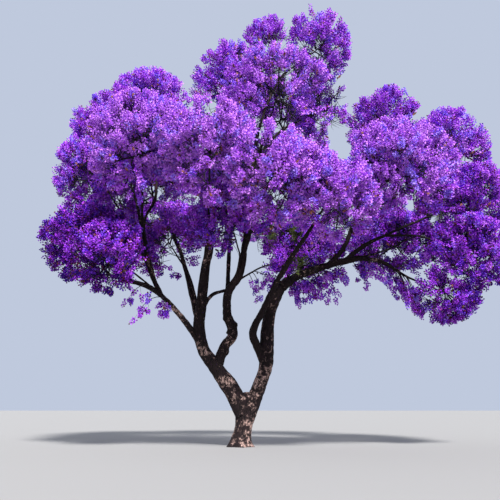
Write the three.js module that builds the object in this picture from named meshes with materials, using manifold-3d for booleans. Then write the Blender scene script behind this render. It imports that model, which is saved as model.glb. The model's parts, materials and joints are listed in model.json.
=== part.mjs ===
// A jacaranda in full blossom: a short leaning trunk, three main limbs and a wide crown of separate masses.
// Millimetres, +Z up. The origin is the middle of the flat cut at ground level, and the front faces -Y.
import * as THREE from 'three';
import { ConvexGeometry } from 'three/addons/geometries/ConvexGeometry.js';
import { mergeVertices } from 'three/addons/utils/BufferGeometryUtils.js';
import Module from 'manifold-3d';

const wasm = await Module();
wasm.setup();

// Driving sizes
const CLEARANCE = 0.3; // between two pieces that meet
const LIMB_CLEARANCE = 25; // from a twig or spray to a limb that passes it
const SPACE_CLEARANCE = 8; // from a twig or spray to the plane where the next mass's space starts
const OVERLAP = 90; // how far back from a limb's tip the next limb starts
const TURN_AT = 0.33; // share of the way to its mass where a limb without bends turns towards it
const LEAVE_ALONG = 0.14; // how far it first follows its parent, as a share of the same way
const LIMB_STEP = 700; // length of one step along a limb
const LEAST_STEPS = 3;
const HEAVY = { girth: 140, sides: 9 }; // how many sides a limb of at least this girth has
const MIDDLING = { girth: 70, sides: 6 };
const SLIGHT_SIDES = 5;
const WELD = 1e-3; // vertices nearer than this are one
const ROUNDING = 1e-3; // what a share may be out by
const GOLDEN_TURN = Math.PI * (3 - Math.sqrt(5));

// The rule that every mass of blossom grows by. Where no unit is given, a size is a share of the mass's
// mean radius.
const GROWTH = {
  entry: 0.62, // from the mass's middle to the foot of its stem
  stem: 0.8, // length of the stem
  stemSides: 4,
  stemGirth: 0.9, // share of its bough's radius at the tip
  arms: 6, // twigs that spread from the stem
  armFeet: [0.95, 0.5], // shares of the stem where the first arm and the last one start
  armRadius: 0.03,
  twigRadius: 0.018,
  twigSides: 3,
  reaches: 48, // places over the mass that more sprays reach for, as far as there is room
  grafts: [0.35, 0.5, 0.65, 0.8], // places along an arm where a spray may start
  spread: 1.6, // 0 sends arms and sprays straight ahead and 2 sends them all round
  rise: 0.2, // how much they bend upwards
  droop: -0.5, // how much they bend upwards in a weeping mass
  spray: 0.72, // length of a blossom spray
  stretch: 1.4, // a spray may be this many times longer before it needs a twig of its own
  width: 0.85, // a spray's size across, as a share of its length
  depth: 0.26,
  shoulders: [0.36, 0.74], // shares of a spray's length where its outline turns
  taper: 0.76, // the spray's width at its second shoulders, as a share of its width at its first
  sink: 0.25, // how far a twig runs up inside its spray, as a share of the spray
  shortenings: [1, 0.86, 0.72, 0.6], // what a blocked spray is cut down to in turn
};

// The trunk, cut level at the ground and ending at its fork
const TRUNK = {
  height: 1330,
  sides: 20,
  steps: 8,
  waist: 275, // radius between the flare and the fork
  flare: 125, // what the root flare adds at the ground
  flareFade: 190, // height over which the flare fades
  flareLobes: 5, // the flare runs out into this many low roots
  lobeDepth: 0.4, // how far they stand out, as a share of the flare
  lobeTurn: 0.8, // radians
  fork: 110, // what the fork adds across X at the top
  forkFrom: 0.4, // share of the height where the fork starts to widen it
  lean: 215, // how far the top leans towards +X
};

// Limbs. Each starts on the limb named by `on`, at that share of its length, runs through its bends, and
// ends at its tip or in its mass. One with no bends leaves along its parent and turns to its mass. Girth is
// its radius at the foot and at the tip, and a taper above 1 thins it early.
const LIMBS = {
  left_limb: {
    foot: [110, 0, 930], mass: 'top_left', girth: [260, 45], taper: 1.15,
    bends: [[-250, 0, 1660], [-1060, 0, 2740], [-1260, 0, 3500], [-1210, -100, 4540], [-1050, -300, 5700],
      [-640, -400, 8800]],
  },
  right_limb: {
    foot: [245, 0, 930], tip: [1350, 0, 4940], girth: [235, 160],
    bends: [[520, 0, 1630], [780, 0, 2300], [900, 150, 3900]],
  },
  middle_limb: {
    on: 'left_limb', at: 0.155, mass: 'top_peak', girth: [165, 34],
    bends: [[-480, 100, 3000], [-235, 150, 3350], [-420, 200, 4080], [-390, 200, 4750], [-60, 190, 5280],
      [270, 0, 7400], [600, 0, 10200], [1400, 0, 12220]],
  },
  arch_bough: {
    on: 'right_limb', at: 1, tip: [3900, -100, 5780], girth: [150, 84],
    bends: [[1830, 0, 5200], [2950, 0, 5590]],
  },
  looped_stem: {
    on: 'right_limb', at: 0.38, mass: 'right_inner_front', girth: [138, 42],
    bends: [[480, -200, 3030], [385, -300, 3340], [660, -420, 3980], [1120, -900, 4850]],
  },
  cross_branch: {
    on: 'left_limb', at: 0.335, tip: [-400, 200, 4790], girth: [62, 52],
    bends: [[-900, 60, 4600]],
  },
  left_bough: {
    on: 'left_limb', at: 0.235, mass: 'low_left', girth: [118, 34],
    bends: [[-1850, -200, 3880], [-2670, -800, 4630], [-3880, -1200, 5000]],
  },
  left_riser: {
    on: 'left_bough', at: 0.46, mass: 'left_crest', girth: [82, 34],
    bends: [[-2800, -760, 5350], [-3060, -400, 6870], [-2760, -230, 7800]],
  },
  left_arm: {
    on: 'left_riser', at: 0.33, mass: 'left_shoulder', girth: [56, 30],
    bends: [[-3400, -180, 7650]],
  },
  far_left_bough: { on: 'left_riser', at: 0.14, mass: 'far_left', girth: [54, 28] },
  left_front_bough: { on: 'left_riser', at: 0.09, mass: 'left_front', girth: [60, 30] },
  low_left_front_bough: { on: 'left_bough', at: 0.36, mass: 'low_left_front', girth: [44, 26] },
  low_inner_left_bough: { on: 'left_limb', at: 0.325, mass: 'low_inner_left', girth: [50, 28] },
  middle_front_left_bough: { on: 'left_limb', at: 0.42, mass: 'middle_front_left', girth: [74, 34] },
  back_left_bough: { on: 'left_limb', at: 0.29, mass: 'back_left', girth: [104, 45] },
  back_middle_bough: { on: 'middle_limb', at: 0.19, mass: 'back_middle', girth: [88, 42] },
  middle_front_bough: { on: 'middle_limb', at: 0.33, mass: 'middle_front', girth: [66, 34] },
  inner_low_bough: { on: 'middle_limb', at: 0.275, mass: 'inner_low', girth: [42, 26] },
  under_middle_bough: { on: 'middle_limb', at: 0.265, mass: 'under_middle', girth: [42, 26] },
  top_front_bough: { on: 'middle_limb', at: 0.52, mass: 'top_front', girth: [58, 30] },
  top_right_bough: {
    on: 'middle_limb', at: 0.64, mass: 'top_right', girth: [58, 30],
    bends: [[1400, 450, 10420]],
  },
  top_back_bough: { on: 'middle_limb', at: 0.6, mass: 'top_back', girth: [60, 34] },
  top_middle_bough: { on: 'middle_limb', at: 0.845, mass: 'top_middle', girth: [42, 26] },
  weeping_bough: {
    on: 'arch_bough', at: 1, mass: 'weeping_right', girth: [78, 28],
    bends: [[4450, -220, 5620], [5200, -380, 5100]],
  },
  right_riser: {
    on: 'arch_bough', at: 0.6, mass: 'right_shoulder', girth: [88, 36],
    bends: [[3320, 0, 6150], [3780, 0, 7260], [4300, 20, 8080]],
  },
  right_crest_bough: { on: 'right_riser', at: 0.42, mass: 'right_crest', girth: [56, 30] },
  right_front_bough: { on: 'right_riser', at: 0.28, mass: 'right_front', girth: [58, 32] },
  right_bough: {
    on: 'arch_bough', at: 0.78, mass: 'far_right', girth: [76, 32],
    bends: [[3860, -200, 6100], [4730, -400, 6500]],
  },
  low_right_bough: { on: 'right_bough', at: 0.45, mass: 'low_right', girth: [46, 26] },
  low_right_back_bough: { on: 'arch_bough', at: 0.9, mass: 'low_right_back', girth: [54, 30] },
  back_right_bough: { on: 'right_limb', at: 0.72, mass: 'back_right', girth: [112, 48] },
};

// Masses of blossom: the middle and the radii of the space that each one fills
const MASSES = {
  top_left: { middle: [-400, -200, 11800], radii: [1400, 1800, 1500] },
  top_peak: { middle: [2650, 0, 13250], radii: [1200, 1600, 1550] },
  top_middle: { middle: [1100, 400, 13050], radii: [1350, 1700, 1550] },
  top_right: { middle: [2750, 500, 11200], radii: [1150, 1700, 1450] },
  top_front: { middle: [1100, -2100, 10300], radii: [1900, 1700, 1750] },
  top_back: { middle: [1500, 2600, 11800], radii: [2100, 1700, 1800] },
  middle_front: { middle: [900, -3800, 7200], radii: [1500, 1600, 1500] },
  middle_front_left: { middle: [-800, -3500, 8000], radii: [1500, 1700, 1600] },
  right_inner_front: { middle: [2500, -3400, 6700], radii: [1400, 1600, 1300] },
  back_middle: { middle: [-100, 3900, 9300], radii: [2300, 2100, 2100] },
  inner_low: { middle: [-250, -1100, 6600], radii: [1600, 1400, 1300] },
  under_middle: { middle: [1950, 500, 5900], radii: [1550, 1600, 1250] },
  low_left: { middle: [-4780, -400, 6200], radii: [1550, 1800, 1400] },
  low_left_front: { middle: [-3700, -1900, 5400], radii: [1400, 1500, 1150] },
  low_inner_left: { middle: [-2500, 900, 6650], radii: [1500, 1800, 1400] },
  far_left: { middle: [-4650, 0, 8500], radii: [1550, 2000, 1600] },
  left_front: { middle: [-2800, -2800, 8400], radii: [1700, 1800, 1700] },
  left_crest: { middle: [-3100, 100, 10900], radii: [1500, 1900, 1500] },
  left_shoulder: { middle: [-4450, 500, 10300], radii: [1450, 1900, 1400] },
  back_left: { middle: [-3400, 3200, 8900], radii: [2300, 2100, 2000] },
  right_crest: { middle: [4900, 300, 10400], radii: [1350, 1800, 1450] },
  right_shoulder: { middle: [6750, 0, 9400], radii: [1500, 1900, 1500] },
  right_front: { middle: [4500, -2800, 7700], radii: [1800, 1700, 1600] },
  far_right: { middle: [7200, -200, 7600], radii: [1500, 1900, 1500] },
  low_right: { middle: [6950, -900, 5700], radii: [1500, 1600, 1300] },
  low_right_back: { middle: [5200, 900, 6400], radii: [1700, 1700, 1300] },
  weeping_right: { middle: [6250, -600, 4550], radii: [1200, 1400, 1000], droops: true },
  back_right: { middle: [3900, 3500, 8900], radii: [2500, 2100, 2000] },
};

const BARK = new THREE.MeshStandardMaterial({ color: '#4a3a30', roughness: 0.95, metalness: 0 });
const BLOSSOM = new THREE.MeshStandardMaterial({ color: '#9a45d6', roughness: 0.75, metalness: 0 });

const UP = new THREE.Vector3(0, 1, 0); // the axis that three.js builds its round shapes along
const vector = (p) => new THREE.Vector3(...p);
const meanRadius = ({ radii }) => (radii[0] + radii[1] + radii[2]) / 3;
const ahead = (point, direction, distance) => point.clone().addScaledVector(direction, distance);

// A closed geometry as a manifold solid, with its shared vertices merged.
function solidOf(geometry) {
  geometry.deleteAttribute('normal');
  geometry.deleteAttribute('uv');
  const merged = mergeVertices(geometry, WELD);
  return new wasm.Manifold(new wasm.Mesh({
    numProp: 3,
    vertProperties: merged.attributes.position.array,
    triVerts: new Uint32Array(merged.index.array),
  }));
}

// A manifold solid as a geometry.
function geometryOf(solid) {
  const { vertProperties, triVerts } = solid.getMesh();
  return new THREE.BufferGeometry()
    .setAttribute('position', new THREE.BufferAttribute(new Float32Array(vertProperties), 3))
    .setIndex(new THREE.BufferAttribute(new Uint32Array(triVerts), 1));
}

// Moves every vertex of a geometry to place(x, y, z).
function reshape(geometry, place) {
  const position = geometry.attributes.position;
  for (let i = 0; i < position.count; i++) {
    const { x, y, z } = place(position.getX(i), position.getY(i), position.getZ(i));
    position.setXYZ(i, x, y, z);
  }
  return geometry;
}

// Turns a geometry from three.js's own axis to a direction, and moves it to a point.
function aim(geometry, point, direction) {
  return geometry
    .applyQuaternion(new THREE.Quaternion().setFromUnitVectors(UP, direction))
    .translate(point.x, point.y, point.z);
}

// The trunk's radius at a height and an angle round its axis: its waist, the flare below and the fork above.
function trunkRadius(height, angle) {
  const lobes = 1 + TRUNK.lobeDepth * Math.cos(TRUNK.flareLobes * angle + TRUNK.lobeTurn);
  const flare = TRUNK.flare * lobes * Math.exp(-height / TRUNK.flareFade);
  const widening = THREE.MathUtils.smoothstep(height, TRUNK.forkFrom * TRUNK.height, TRUNK.height);
  return TRUNK.waist + flare + TRUNK.fork * widening * Math.cos(angle) ** 2;
}

// The trunk in level slices, so that its foot is one flat face, with its sides and top moved out by extra.
function trunkSolid(extra = 0) {
  const barrel = new THREE.CylinderGeometry(1, 1, 1, TRUNK.sides, TRUNK.steps);
  return solidOf(reshape(barrel, (x, y, z) => {
    const share = y + 0.5;
    const angle = Math.atan2(-z, x);
    const height = share * TRUNK.height;
    const radius = Math.hypot(x, z) * (trunkRadius(height, angle) + extra);
    const lean = TRUNK.lean * THREE.MathUtils.smoothstep(share, 0, 1);
    return new THREE.Vector3(
      lean + radius * Math.cos(angle),
      radius * Math.sin(angle),
      height + (share > 1 - ROUNDING ? extra : 0),
    );
  }));
}

// A limb's radius at a share of its length.
function limbRadius({ girth, taper = 1 }, share) {
  return girth[1] + (girth[0] - girth[1]) * (1 - share) ** taper;
}

// The one bend of a limb that has none of its own: first along its parent, then to its mass.
function plainBend(foot, parentDirection, mass) {
  const across = vector(mass.middle).sub(foot);
  return foot.clone()
    .addScaledVector(across, TURN_AT)
    .addScaledVector(parentDirection, LEAVE_ALONG * across.length());
}

// How many sides a limb has, by its radius at the foot.
function sidesOf({ girth }) {
  if (girth[0] >= HEAVY.girth) return HEAVY.sides;
  return girth[0] >= MIDDLING.girth ? MIDDLING.sides : SLIGHT_SIDES;
}

// Works out a limb's curve, how finely it is divided, and the stem that goes on from it.
function layOut(limb) {
  const parent = LIMBS[limb.on];
  const mass = MASSES[limb.mass];
  const at = parent && Math.min(limb.at, 1 - OVERLAP / parent.curve.getLength());
  const foot = parent ? parent.curve.getPointAt(at) : vector(limb.foot);
  const bends = limb.bends
    ? limb.bends.map(vector)
    : [plainBend(foot, parent.curve.getTangentAt(at), mass)];
  let tip = limb.tip && vector(limb.tip);
  if (mass) {
    const inwards = vector(mass.middle).sub(bends.at(-1));
    const outside = inwards.length() - GROWTH.entry * meanRadius(mass);
    tip = ahead(bends.at(-1), inwards.normalize(), outside);
  }
  limb.curve = new THREE.CatmullRomCurve3([foot, ...bends, tip], false, 'centripetal');
  limb.sides = sidesOf(limb);
  limb.steps = Math.max(LEAST_STEPS, Math.round(limb.curve.getLength() / LIMB_STEP));
  limb.frames = limb.curve.computeFrenetFrames(limb.steps);
  limb.points = limb.frames.tangents.map((_, row) => limb.curve.getPointAt(row / limb.steps));
  if (mass) limb.stemTop = ahead(tip, limb.frames.tangents.at(-1), GROWTH.stem * meanRadius(mass));
}

// A limb as a tapering tube round its curve, with every face moved out by extra.
function limbSolid(limb, extra = 0) {
  const barrel = new THREE.CylinderGeometry(1, 1, 1, limb.sides, limb.steps);
  return solidOf(reshape(barrel, (x, y, z) => {
    const row = Math.round((y + 0.5) * limb.steps);
    const radius = limbRadius(limb, row / limb.steps) + extra;
    const end = row === 0 ? -extra : row === limb.steps ? extra : 0;
    return limb.points[row].clone()
      .addScaledVector(limb.frames.binormals[row], x * radius)
      .addScaledVector(limb.frames.normals[row], z * radius)
      .addScaledVector(limb.frames.tangents[row], end);
  }));
}

// Cuts a new piece clear of those that it runs into, and keeps the largest part.
function cutClear(solid, others) {
  const cut = others
    .filter((other) => !other.intersect(solid).isEmpty())
    .reduce((left, other) => left.subtract(other), solid);
  return cut.decompose().sort((a, b) => b.volume() - a.volume())[0];
}

// A pointed twig from a to b.
function twigSolid(a, b, radius, sides = GROWTH.twigSides) {
  const along = b.clone().sub(a);
  const length = along.length();
  const cone = new THREE.ConeGeometry(radius, length, sides, 1).translate(0, length / 2, 0);
  return solidOf(aim(cone, a, along.normalize()));
}

// A blossom spray. It is widest at its first shoulders, which lie under its middle plane, and narrower at
// its second ones, which lie above it.
function spraySolid(root, direction, length) {
  const [low, high] = GROWTH.shoulders;
  const half = GROWTH.width / 2;
  const thick = GROWTH.depth / 2;
  const form = new ConvexGeometry([
    new THREE.Vector3(0, 0, 0),
    new THREE.Vector3(half, low, -thick),
    new THREE.Vector3(-half, low, -thick),
    new THREE.Vector3(GROWTH.taper * half, high, thick),
    new THREE.Vector3(-GROWTH.taper * half, high, thick),
    new THREE.Vector3(0, 1, 0),
  ]).scale(length, length, length);
  return solidOf(aim(form, root, direction));
}

// Distance from a point to the segment from a to b.
function segmentDistance(point, a, b) {
  const along = b.clone().sub(a);
  const share = THREE.MathUtils.clamp(point.clone().sub(a).dot(along) / along.lengthSq(), 0, 1);
  return point.distanceTo(ahead(a, along, share));
}

// Whether a straight piece from a to b stays clear of every limb and of the other masses' stems.
function clearOfLimbs(a, b, halfWidth, ownMass) {
  const samples = [0, 0.2, 0.4, 0.6, 0.8, 1].map((share) => a.clone().lerp(b, share));
  return Object.values(LIMBS).every((limb) => {
    const path = limb.mass && limb.mass !== ownMass ? [...limb.points, limb.stemTop] : limb.points;
    return path.slice(1).every((point, row) => {
      const room = limbRadius(limb, Math.min(row / limb.steps, 1)) + halfWidth + LIMB_CLEARANCE;
      return samples.every((sample) => segmentDistance(sample, path[row], point) > room);
    });
  });
}

// The space of one mass: a round outline, cut off where its sphere of mean radius crosses a neighbour's.
class Space {
  constructor(mass) {
    this.middle = vector(mass.middle);
    this.radii = vector(mass.radii);
    this.planes = Object.values(MASSES).filter((other) => other !== mass).map((other) => {
      const across = vector(other.middle).sub(this.middle);
      const distance = across.length();
      const limit = (distance ** 2 + meanRadius(mass) ** 2 - meanRadius(other) ** 2) / (2 * distance);
      return { normal: across.normalize(), limit: limit - SPACE_CLEARANCE };
    });
  }

  holds(point) {
    const out = point.clone().sub(this.middle);
    return out.clone().divide(this.radii).length() < 1 + ROUNDING
      && this.planes.every(({ normal, limit }) => out.dot(normal) < limit);
  }

  // How far a ray from a point runs before it leaves the space
  reach(point, direction) {
    const out = point.clone().sub(this.middle);
    const start = out.clone().divide(this.radii);
    const step = direction.clone().divide(this.radii);
    const half = start.dot(step);
    const root = Math.sqrt(Math.max(half ** 2 - step.lengthSq() * (start.lengthSq() - 1), 0));
    const exits = this.planes.filter(({ normal }) => direction.dot(normal) > 0)
      .map(({ normal, limit }) => (limit - out.dot(normal)) / direction.dot(normal));
    return Math.min((root - half) / step.lengthSq(), ...exits);
  }
}

// One of a number of directions spread evenly round a heading by the golden angle. The seed turns them all.
function spreadDirection(heading, k, count, seed, lift) {
  const polar = Math.acos(1 - (GROWTH.spread * (k + 0.5)) / count);
  const turn = k * GOLDEN_TURN + seed;
  const side = new THREE.Vector3(0, 0, 1).cross(heading).normalize();
  const over = heading.clone().cross(side);
  return heading.clone().multiplyScalar(Math.cos(polar))
    .addScaledVector(side, Math.sin(polar) * Math.cos(turn))
    .addScaledVector(over, Math.sin(polar) * Math.sin(turn))
    .add(new THREE.Vector3(0, 0, lift))
    .normalize();
}

// Grows one mass. A stem goes on from its bough's tip. Arms spread from the stem, each with a blossom spray
// at its end, and more sprays reach for places spread evenly over the mass, each from the nearest place on
// an arm. One that would leave the space, touch a limb or run into another is tried shorter, and skipped if
// it is still blocked.
function massSolid(name, seed) {
  const mass = MASSES[name];
  const bough = Object.values(LIMBS).find((limb) => limb.mass === name);
  const space = new Space(mass);
  const radius = meanRadius(mass);
  const heading = bough.frames.tangents.at(-1);
  const foot = ahead(bough.points.at(-1), heading, CLEARANCE);
  const lift = mass.droops ? GROWTH.droop : GROWTH.rise;
  const stem = twigSolid(foot, bough.stemTop, GROWTH.stemGirth * bough.girth[1], GROWTH.stemSides);
  const arms = [];
  const sprays = [];
  const twigs = [];

  // A spray whose tip lies at a distance ahead of a root. Where that is too far for one spray, it starts
  // further out, and a twig leads to it.
  const grow = (root, direction, distance, ownArm) => {
    const others = [...sprays, ...arms.filter((arm) => arm !== ownArm).map((arm) => arm.solid)];
    const whole = distance > GROWTH.stretch * GROWTH.spray * radius ? GROWTH.spray * radius : distance;
    for (const share of GROWTH.shortenings) {
      const length = whole * share;
      const start = ahead(root, direction, (distance - whole) * share);
      const solid = spraySolid(start, direction, length);
      const mesh = solid.getMesh();
      const corners = Array.from({ length: mesh.numVert }, (_, i) => vector(mesh.position(i)));
      if (!corners.every((corner) => space.holds(corner))) continue;
      if (!clearOfLimbs(root, ahead(start, direction, length), (GROWTH.width / 2) * length, name)) continue;
      if (others.some((other) => !other.intersect(solid).isEmpty())) continue;
      sprays.push(solid);
      return { start, twigTip: ahead(start, direction, GROWTH.sink * length) };
    }
    return null;
  };

  for (let k = 0; k < GROWTH.arms; k++) {
    const direction = spreadDirection(heading, k, GROWTH.arms, seed, lift);
    const along = THREE.MathUtils.lerp(...GROWTH.armFeet, k / GROWTH.arms);
    const root = foot.clone().lerp(bough.stemTop, along);
    const grown = grow(root, direction, space.reach(root, direction));
    if (!grown) continue;
    const grafts = GROWTH.grafts.map((share) => root.clone().lerp(grown.start, share));
    arms.push({ grafts, solid: twigSolid(root, grown.twigTip, GROWTH.armRadius * radius) });
  }
  for (let k = 0; k < GROWTH.reaches; k++) {
    const outwards = spreadDirection(heading, k, GROWTH.reaches, seed, lift);
    const target = ahead(space.middle, outwards, space.reach(space.middle, outwards));
    const [nearest] = arms
      .flatMap((arm) => arm.grafts.map((root) => ({ arm, root, distance: root.distanceTo(target) })))
      .sort((a, b) => a.distance - b.distance);
    const direction = target.sub(nearest.root).normalize();
    const grown = grow(nearest.root, direction, nearest.distance, nearest.arm);
    if (!grown || grown.start.equals(nearest.root)) continue;
    twigs.push(twigSolid(nearest.root, grown.twigTip, GROWTH.twigRadius * radius));
  }
  return wasm.Manifold.union([stem, ...arms.map((arm) => arm.solid), ...sprays, ...twigs]);
}

const tree = new THREE.Group();

function addPiece(name, solid, material) {
  const mesh = new THREE.Mesh(geometryOf(solid), material);
  mesh.name = name;
  tree.add(mesh);
}

addPiece('trunk', trunkSolid(), BARK);
const standing = [trunkSolid(CLEARANCE)];
for (const [name, limb] of Object.entries(LIMBS)) {
  layOut(limb);
  addPiece(name, cutClear(limbSolid(limb), standing), BARK);
  standing.push(limbSolid(limb, CLEARANCE));
}
Object.keys(MASSES).forEach((name, seed) => addPiece(`blossom_${name}`, massSolid(name, seed), BLOSSOM));

export default tree;
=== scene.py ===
"""A jacaranda tree in full blossom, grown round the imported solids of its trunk, limbs and masses.

The limbs follow the same curves as the solids and get bark relief. Each mass of blossom grows by the
solids' own rule, carried on to finer twigs that carry panicles of florets, leaf tufts and seed pods.
"""

import json
import math

import bpy
import numpy as np
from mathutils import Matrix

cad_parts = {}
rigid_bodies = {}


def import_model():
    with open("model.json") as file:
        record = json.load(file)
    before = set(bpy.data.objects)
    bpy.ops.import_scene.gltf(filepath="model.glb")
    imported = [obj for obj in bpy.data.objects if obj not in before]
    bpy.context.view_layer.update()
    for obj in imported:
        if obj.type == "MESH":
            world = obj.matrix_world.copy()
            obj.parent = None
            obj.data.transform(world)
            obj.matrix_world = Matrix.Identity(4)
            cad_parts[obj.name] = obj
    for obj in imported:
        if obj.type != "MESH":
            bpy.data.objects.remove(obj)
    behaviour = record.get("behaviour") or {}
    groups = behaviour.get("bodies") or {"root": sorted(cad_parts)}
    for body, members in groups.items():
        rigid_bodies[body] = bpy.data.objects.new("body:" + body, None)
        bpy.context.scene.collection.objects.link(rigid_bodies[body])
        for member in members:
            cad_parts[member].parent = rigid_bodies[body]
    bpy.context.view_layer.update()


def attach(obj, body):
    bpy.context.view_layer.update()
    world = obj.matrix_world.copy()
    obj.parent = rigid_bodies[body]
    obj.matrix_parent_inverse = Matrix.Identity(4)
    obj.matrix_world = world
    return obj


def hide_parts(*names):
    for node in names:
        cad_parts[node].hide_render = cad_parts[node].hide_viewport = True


bl_info = {
    "name": "Jacaranda tree",
    "version": (1, 0, 0),
    "blender": (4, 5, 0),
    "location": "3D View > Sidebar > Jacaranda",
    "description": "A jacaranda tree in full blossom, with furrowed bark, twigs, panicles and seed pods",
    "category": "Object",
}

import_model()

MM = 0.001
GOLDEN_TURN = math.pi * (3 - math.sqrt(5))
UP = np.array([0.0, 0.0, 1.0])
STEEP = 0.9  # share of a direction's length that points up or down where it counts as upright

# Random seeds of the groups. The limbs count on from theirs, and a mass's is its place in the list.
SEEDS = {"trunk": 100, "limbs": 200, "blossom": 300, "fringe": 400}

# The trunk, as in the solids: cut level at the ground and ending at its fork
TRUNK = {
    "height": 1.330,
    "waist": 0.275,
    "flare": 0.125,
    "flare_fade": 0.190,
    "flare_lobes": 5,
    "lobe_depth": 0.4,
    "lobe_turn": 0.8,
    "fork": 0.110,
    "fork_from": 0.4,
    "lean": 0.215,
}
CROTCH_RISE = 0.27  # how far the wood between the two limbs swells up past the trunk's top

# Limbs in millimetres, as in the solids: the limb each starts on and the share of its length where, its
# bends, its tip or the mass it carries, and its radii at its foot and its tip
LIMBS = {
    "left_limb": {
        "foot": (110, 0, 930), "mass": "top_left", "girth": (260, 45), "taper": 1.15,
        "bends": [(-250, 0, 1660), (-1060, 0, 2740), (-1260, 0, 3500), (-1210, -100, 4540),
                  (-1050, -300, 5700), (-640, -400, 8800)],
    },
    "right_limb": {
        "foot": (245, 0, 930), "tip": (1350, 0, 4940), "girth": (235, 160),
        "bends": [(520, 0, 1630), (780, 0, 2300), (900, 150, 3900)],
    },
    "middle_limb": {
        "on": "left_limb", "at": 0.155, "mass": "top_peak", "girth": (165, 34),
        "bends": [(-480, 100, 3000), (-235, 150, 3350), (-420, 200, 4080), (-390, 200, 4750),
                  (-60, 190, 5280), (270, 0, 7400), (600, 0, 10200), (1400, 0, 12220)],
    },
    "arch_bough": {
        "on": "right_limb", "at": 1, "tip": (3900, -100, 5780), "girth": (150, 84),
        "bends": [(1830, 0, 5200), (2950, 0, 5590)],
    },
    "looped_stem": {
        "on": "right_limb", "at": 0.38, "mass": "right_inner_front", "girth": (138, 42),
        "bends": [(480, -200, 3030), (385, -300, 3340), (660, -420, 3980), (1120, -900, 4850)],
    },
    "cross_branch": {
        "on": "left_limb", "at": 0.335, "tip": (-400, 200, 4790), "girth": (62, 52),
        "bends": [(-900, 60, 4600)],
    },
    "left_bough": {
        "on": "left_limb", "at": 0.235, "mass": "low_left", "girth": (118, 34),
        "bends": [(-1850, -200, 3880), (-2670, -800, 4630), (-3880, -1200, 5000)],
    },
    "left_riser": {
        "on": "left_bough", "at": 0.46, "mass": "left_crest", "girth": (82, 34),
        "bends": [(-2800, -760, 5350), (-3060, -400, 6870), (-2760, -230, 7800)],
    },
    "left_arm": {
        "on": "left_riser", "at": 0.33, "mass": "left_shoulder", "girth": (56, 30),
        "bends": [(-3400, -180, 7650)],
    },
    "far_left_bough": {"on": "left_riser", "at": 0.14, "mass": "far_left", "girth": (54, 28)},
    "left_front_bough": {"on": "left_riser", "at": 0.09, "mass": "left_front", "girth": (60, 30)},
    "low_left_front_bough": {
        "on": "left_bough", "at": 0.36, "mass": "low_left_front", "girth": (44, 26),
    },
    "low_inner_left_bough": {
        "on": "left_limb", "at": 0.325, "mass": "low_inner_left", "girth": (50, 28),
    },
    "middle_front_left_bough": {
        "on": "left_limb", "at": 0.42, "mass": "middle_front_left", "girth": (74, 34),
    },
    "back_left_bough": {"on": "left_limb", "at": 0.29, "mass": "back_left", "girth": (104, 45)},
    "back_middle_bough": {"on": "middle_limb", "at": 0.19, "mass": "back_middle", "girth": (88, 42)},
    "middle_front_bough": {"on": "middle_limb", "at": 0.33, "mass": "middle_front", "girth": (66, 34)},
    "inner_low_bough": {"on": "middle_limb", "at": 0.275, "mass": "inner_low", "girth": (42, 26)},
    "under_middle_bough": {"on": "middle_limb", "at": 0.265, "mass": "under_middle", "girth": (42, 26)},
    "top_front_bough": {"on": "middle_limb", "at": 0.52, "mass": "top_front", "girth": (58, 30)},
    "top_right_bough": {
        "on": "middle_limb", "at": 0.64, "mass": "top_right", "girth": (58, 30),
        "bends": [(1400, 450, 10420)],
    },
    "top_back_bough": {"on": "middle_limb", "at": 0.6, "mass": "top_back", "girth": (60, 34)},
    "top_middle_bough": {"on": "middle_limb", "at": 0.845, "mass": "top_middle", "girth": (42, 26)},
    "weeping_bough": {
        "on": "arch_bough", "at": 1, "mass": "weeping_right", "girth": (78, 28),
        "bends": [(4450, -220, 5620), (5200, -380, 5100)],
    },
    "right_riser": {
        "on": "arch_bough", "at": 0.6, "mass": "right_shoulder", "girth": (88, 36),
        "bends": [(3320, 0, 6150), (3780, 0, 7260), (4300, 20, 8080)],
    },
    "right_crest_bough": {"on": "right_riser", "at": 0.42, "mass": "right_crest", "girth": (56, 30)},
    "right_front_bough": {"on": "right_riser", "at": 0.28, "mass": "right_front", "girth": (58, 32)},
    "right_bough": {
        "on": "arch_bough", "at": 0.78, "mass": "far_right", "girth": (76, 32),
        "bends": [(3860, -200, 6100), (4730, -400, 6500)],
    },
    "low_right_bough": {"on": "right_bough", "at": 0.45, "mass": "low_right", "girth": (46, 26)},
    "low_right_back_bough": {"on": "arch_bough", "at": 0.9, "mass": "low_right_back", "girth": (54, 30)},
    "back_right_bough": {"on": "right_limb", "at": 0.72, "mass": "back_right", "girth": (112, 48)},
}

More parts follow.
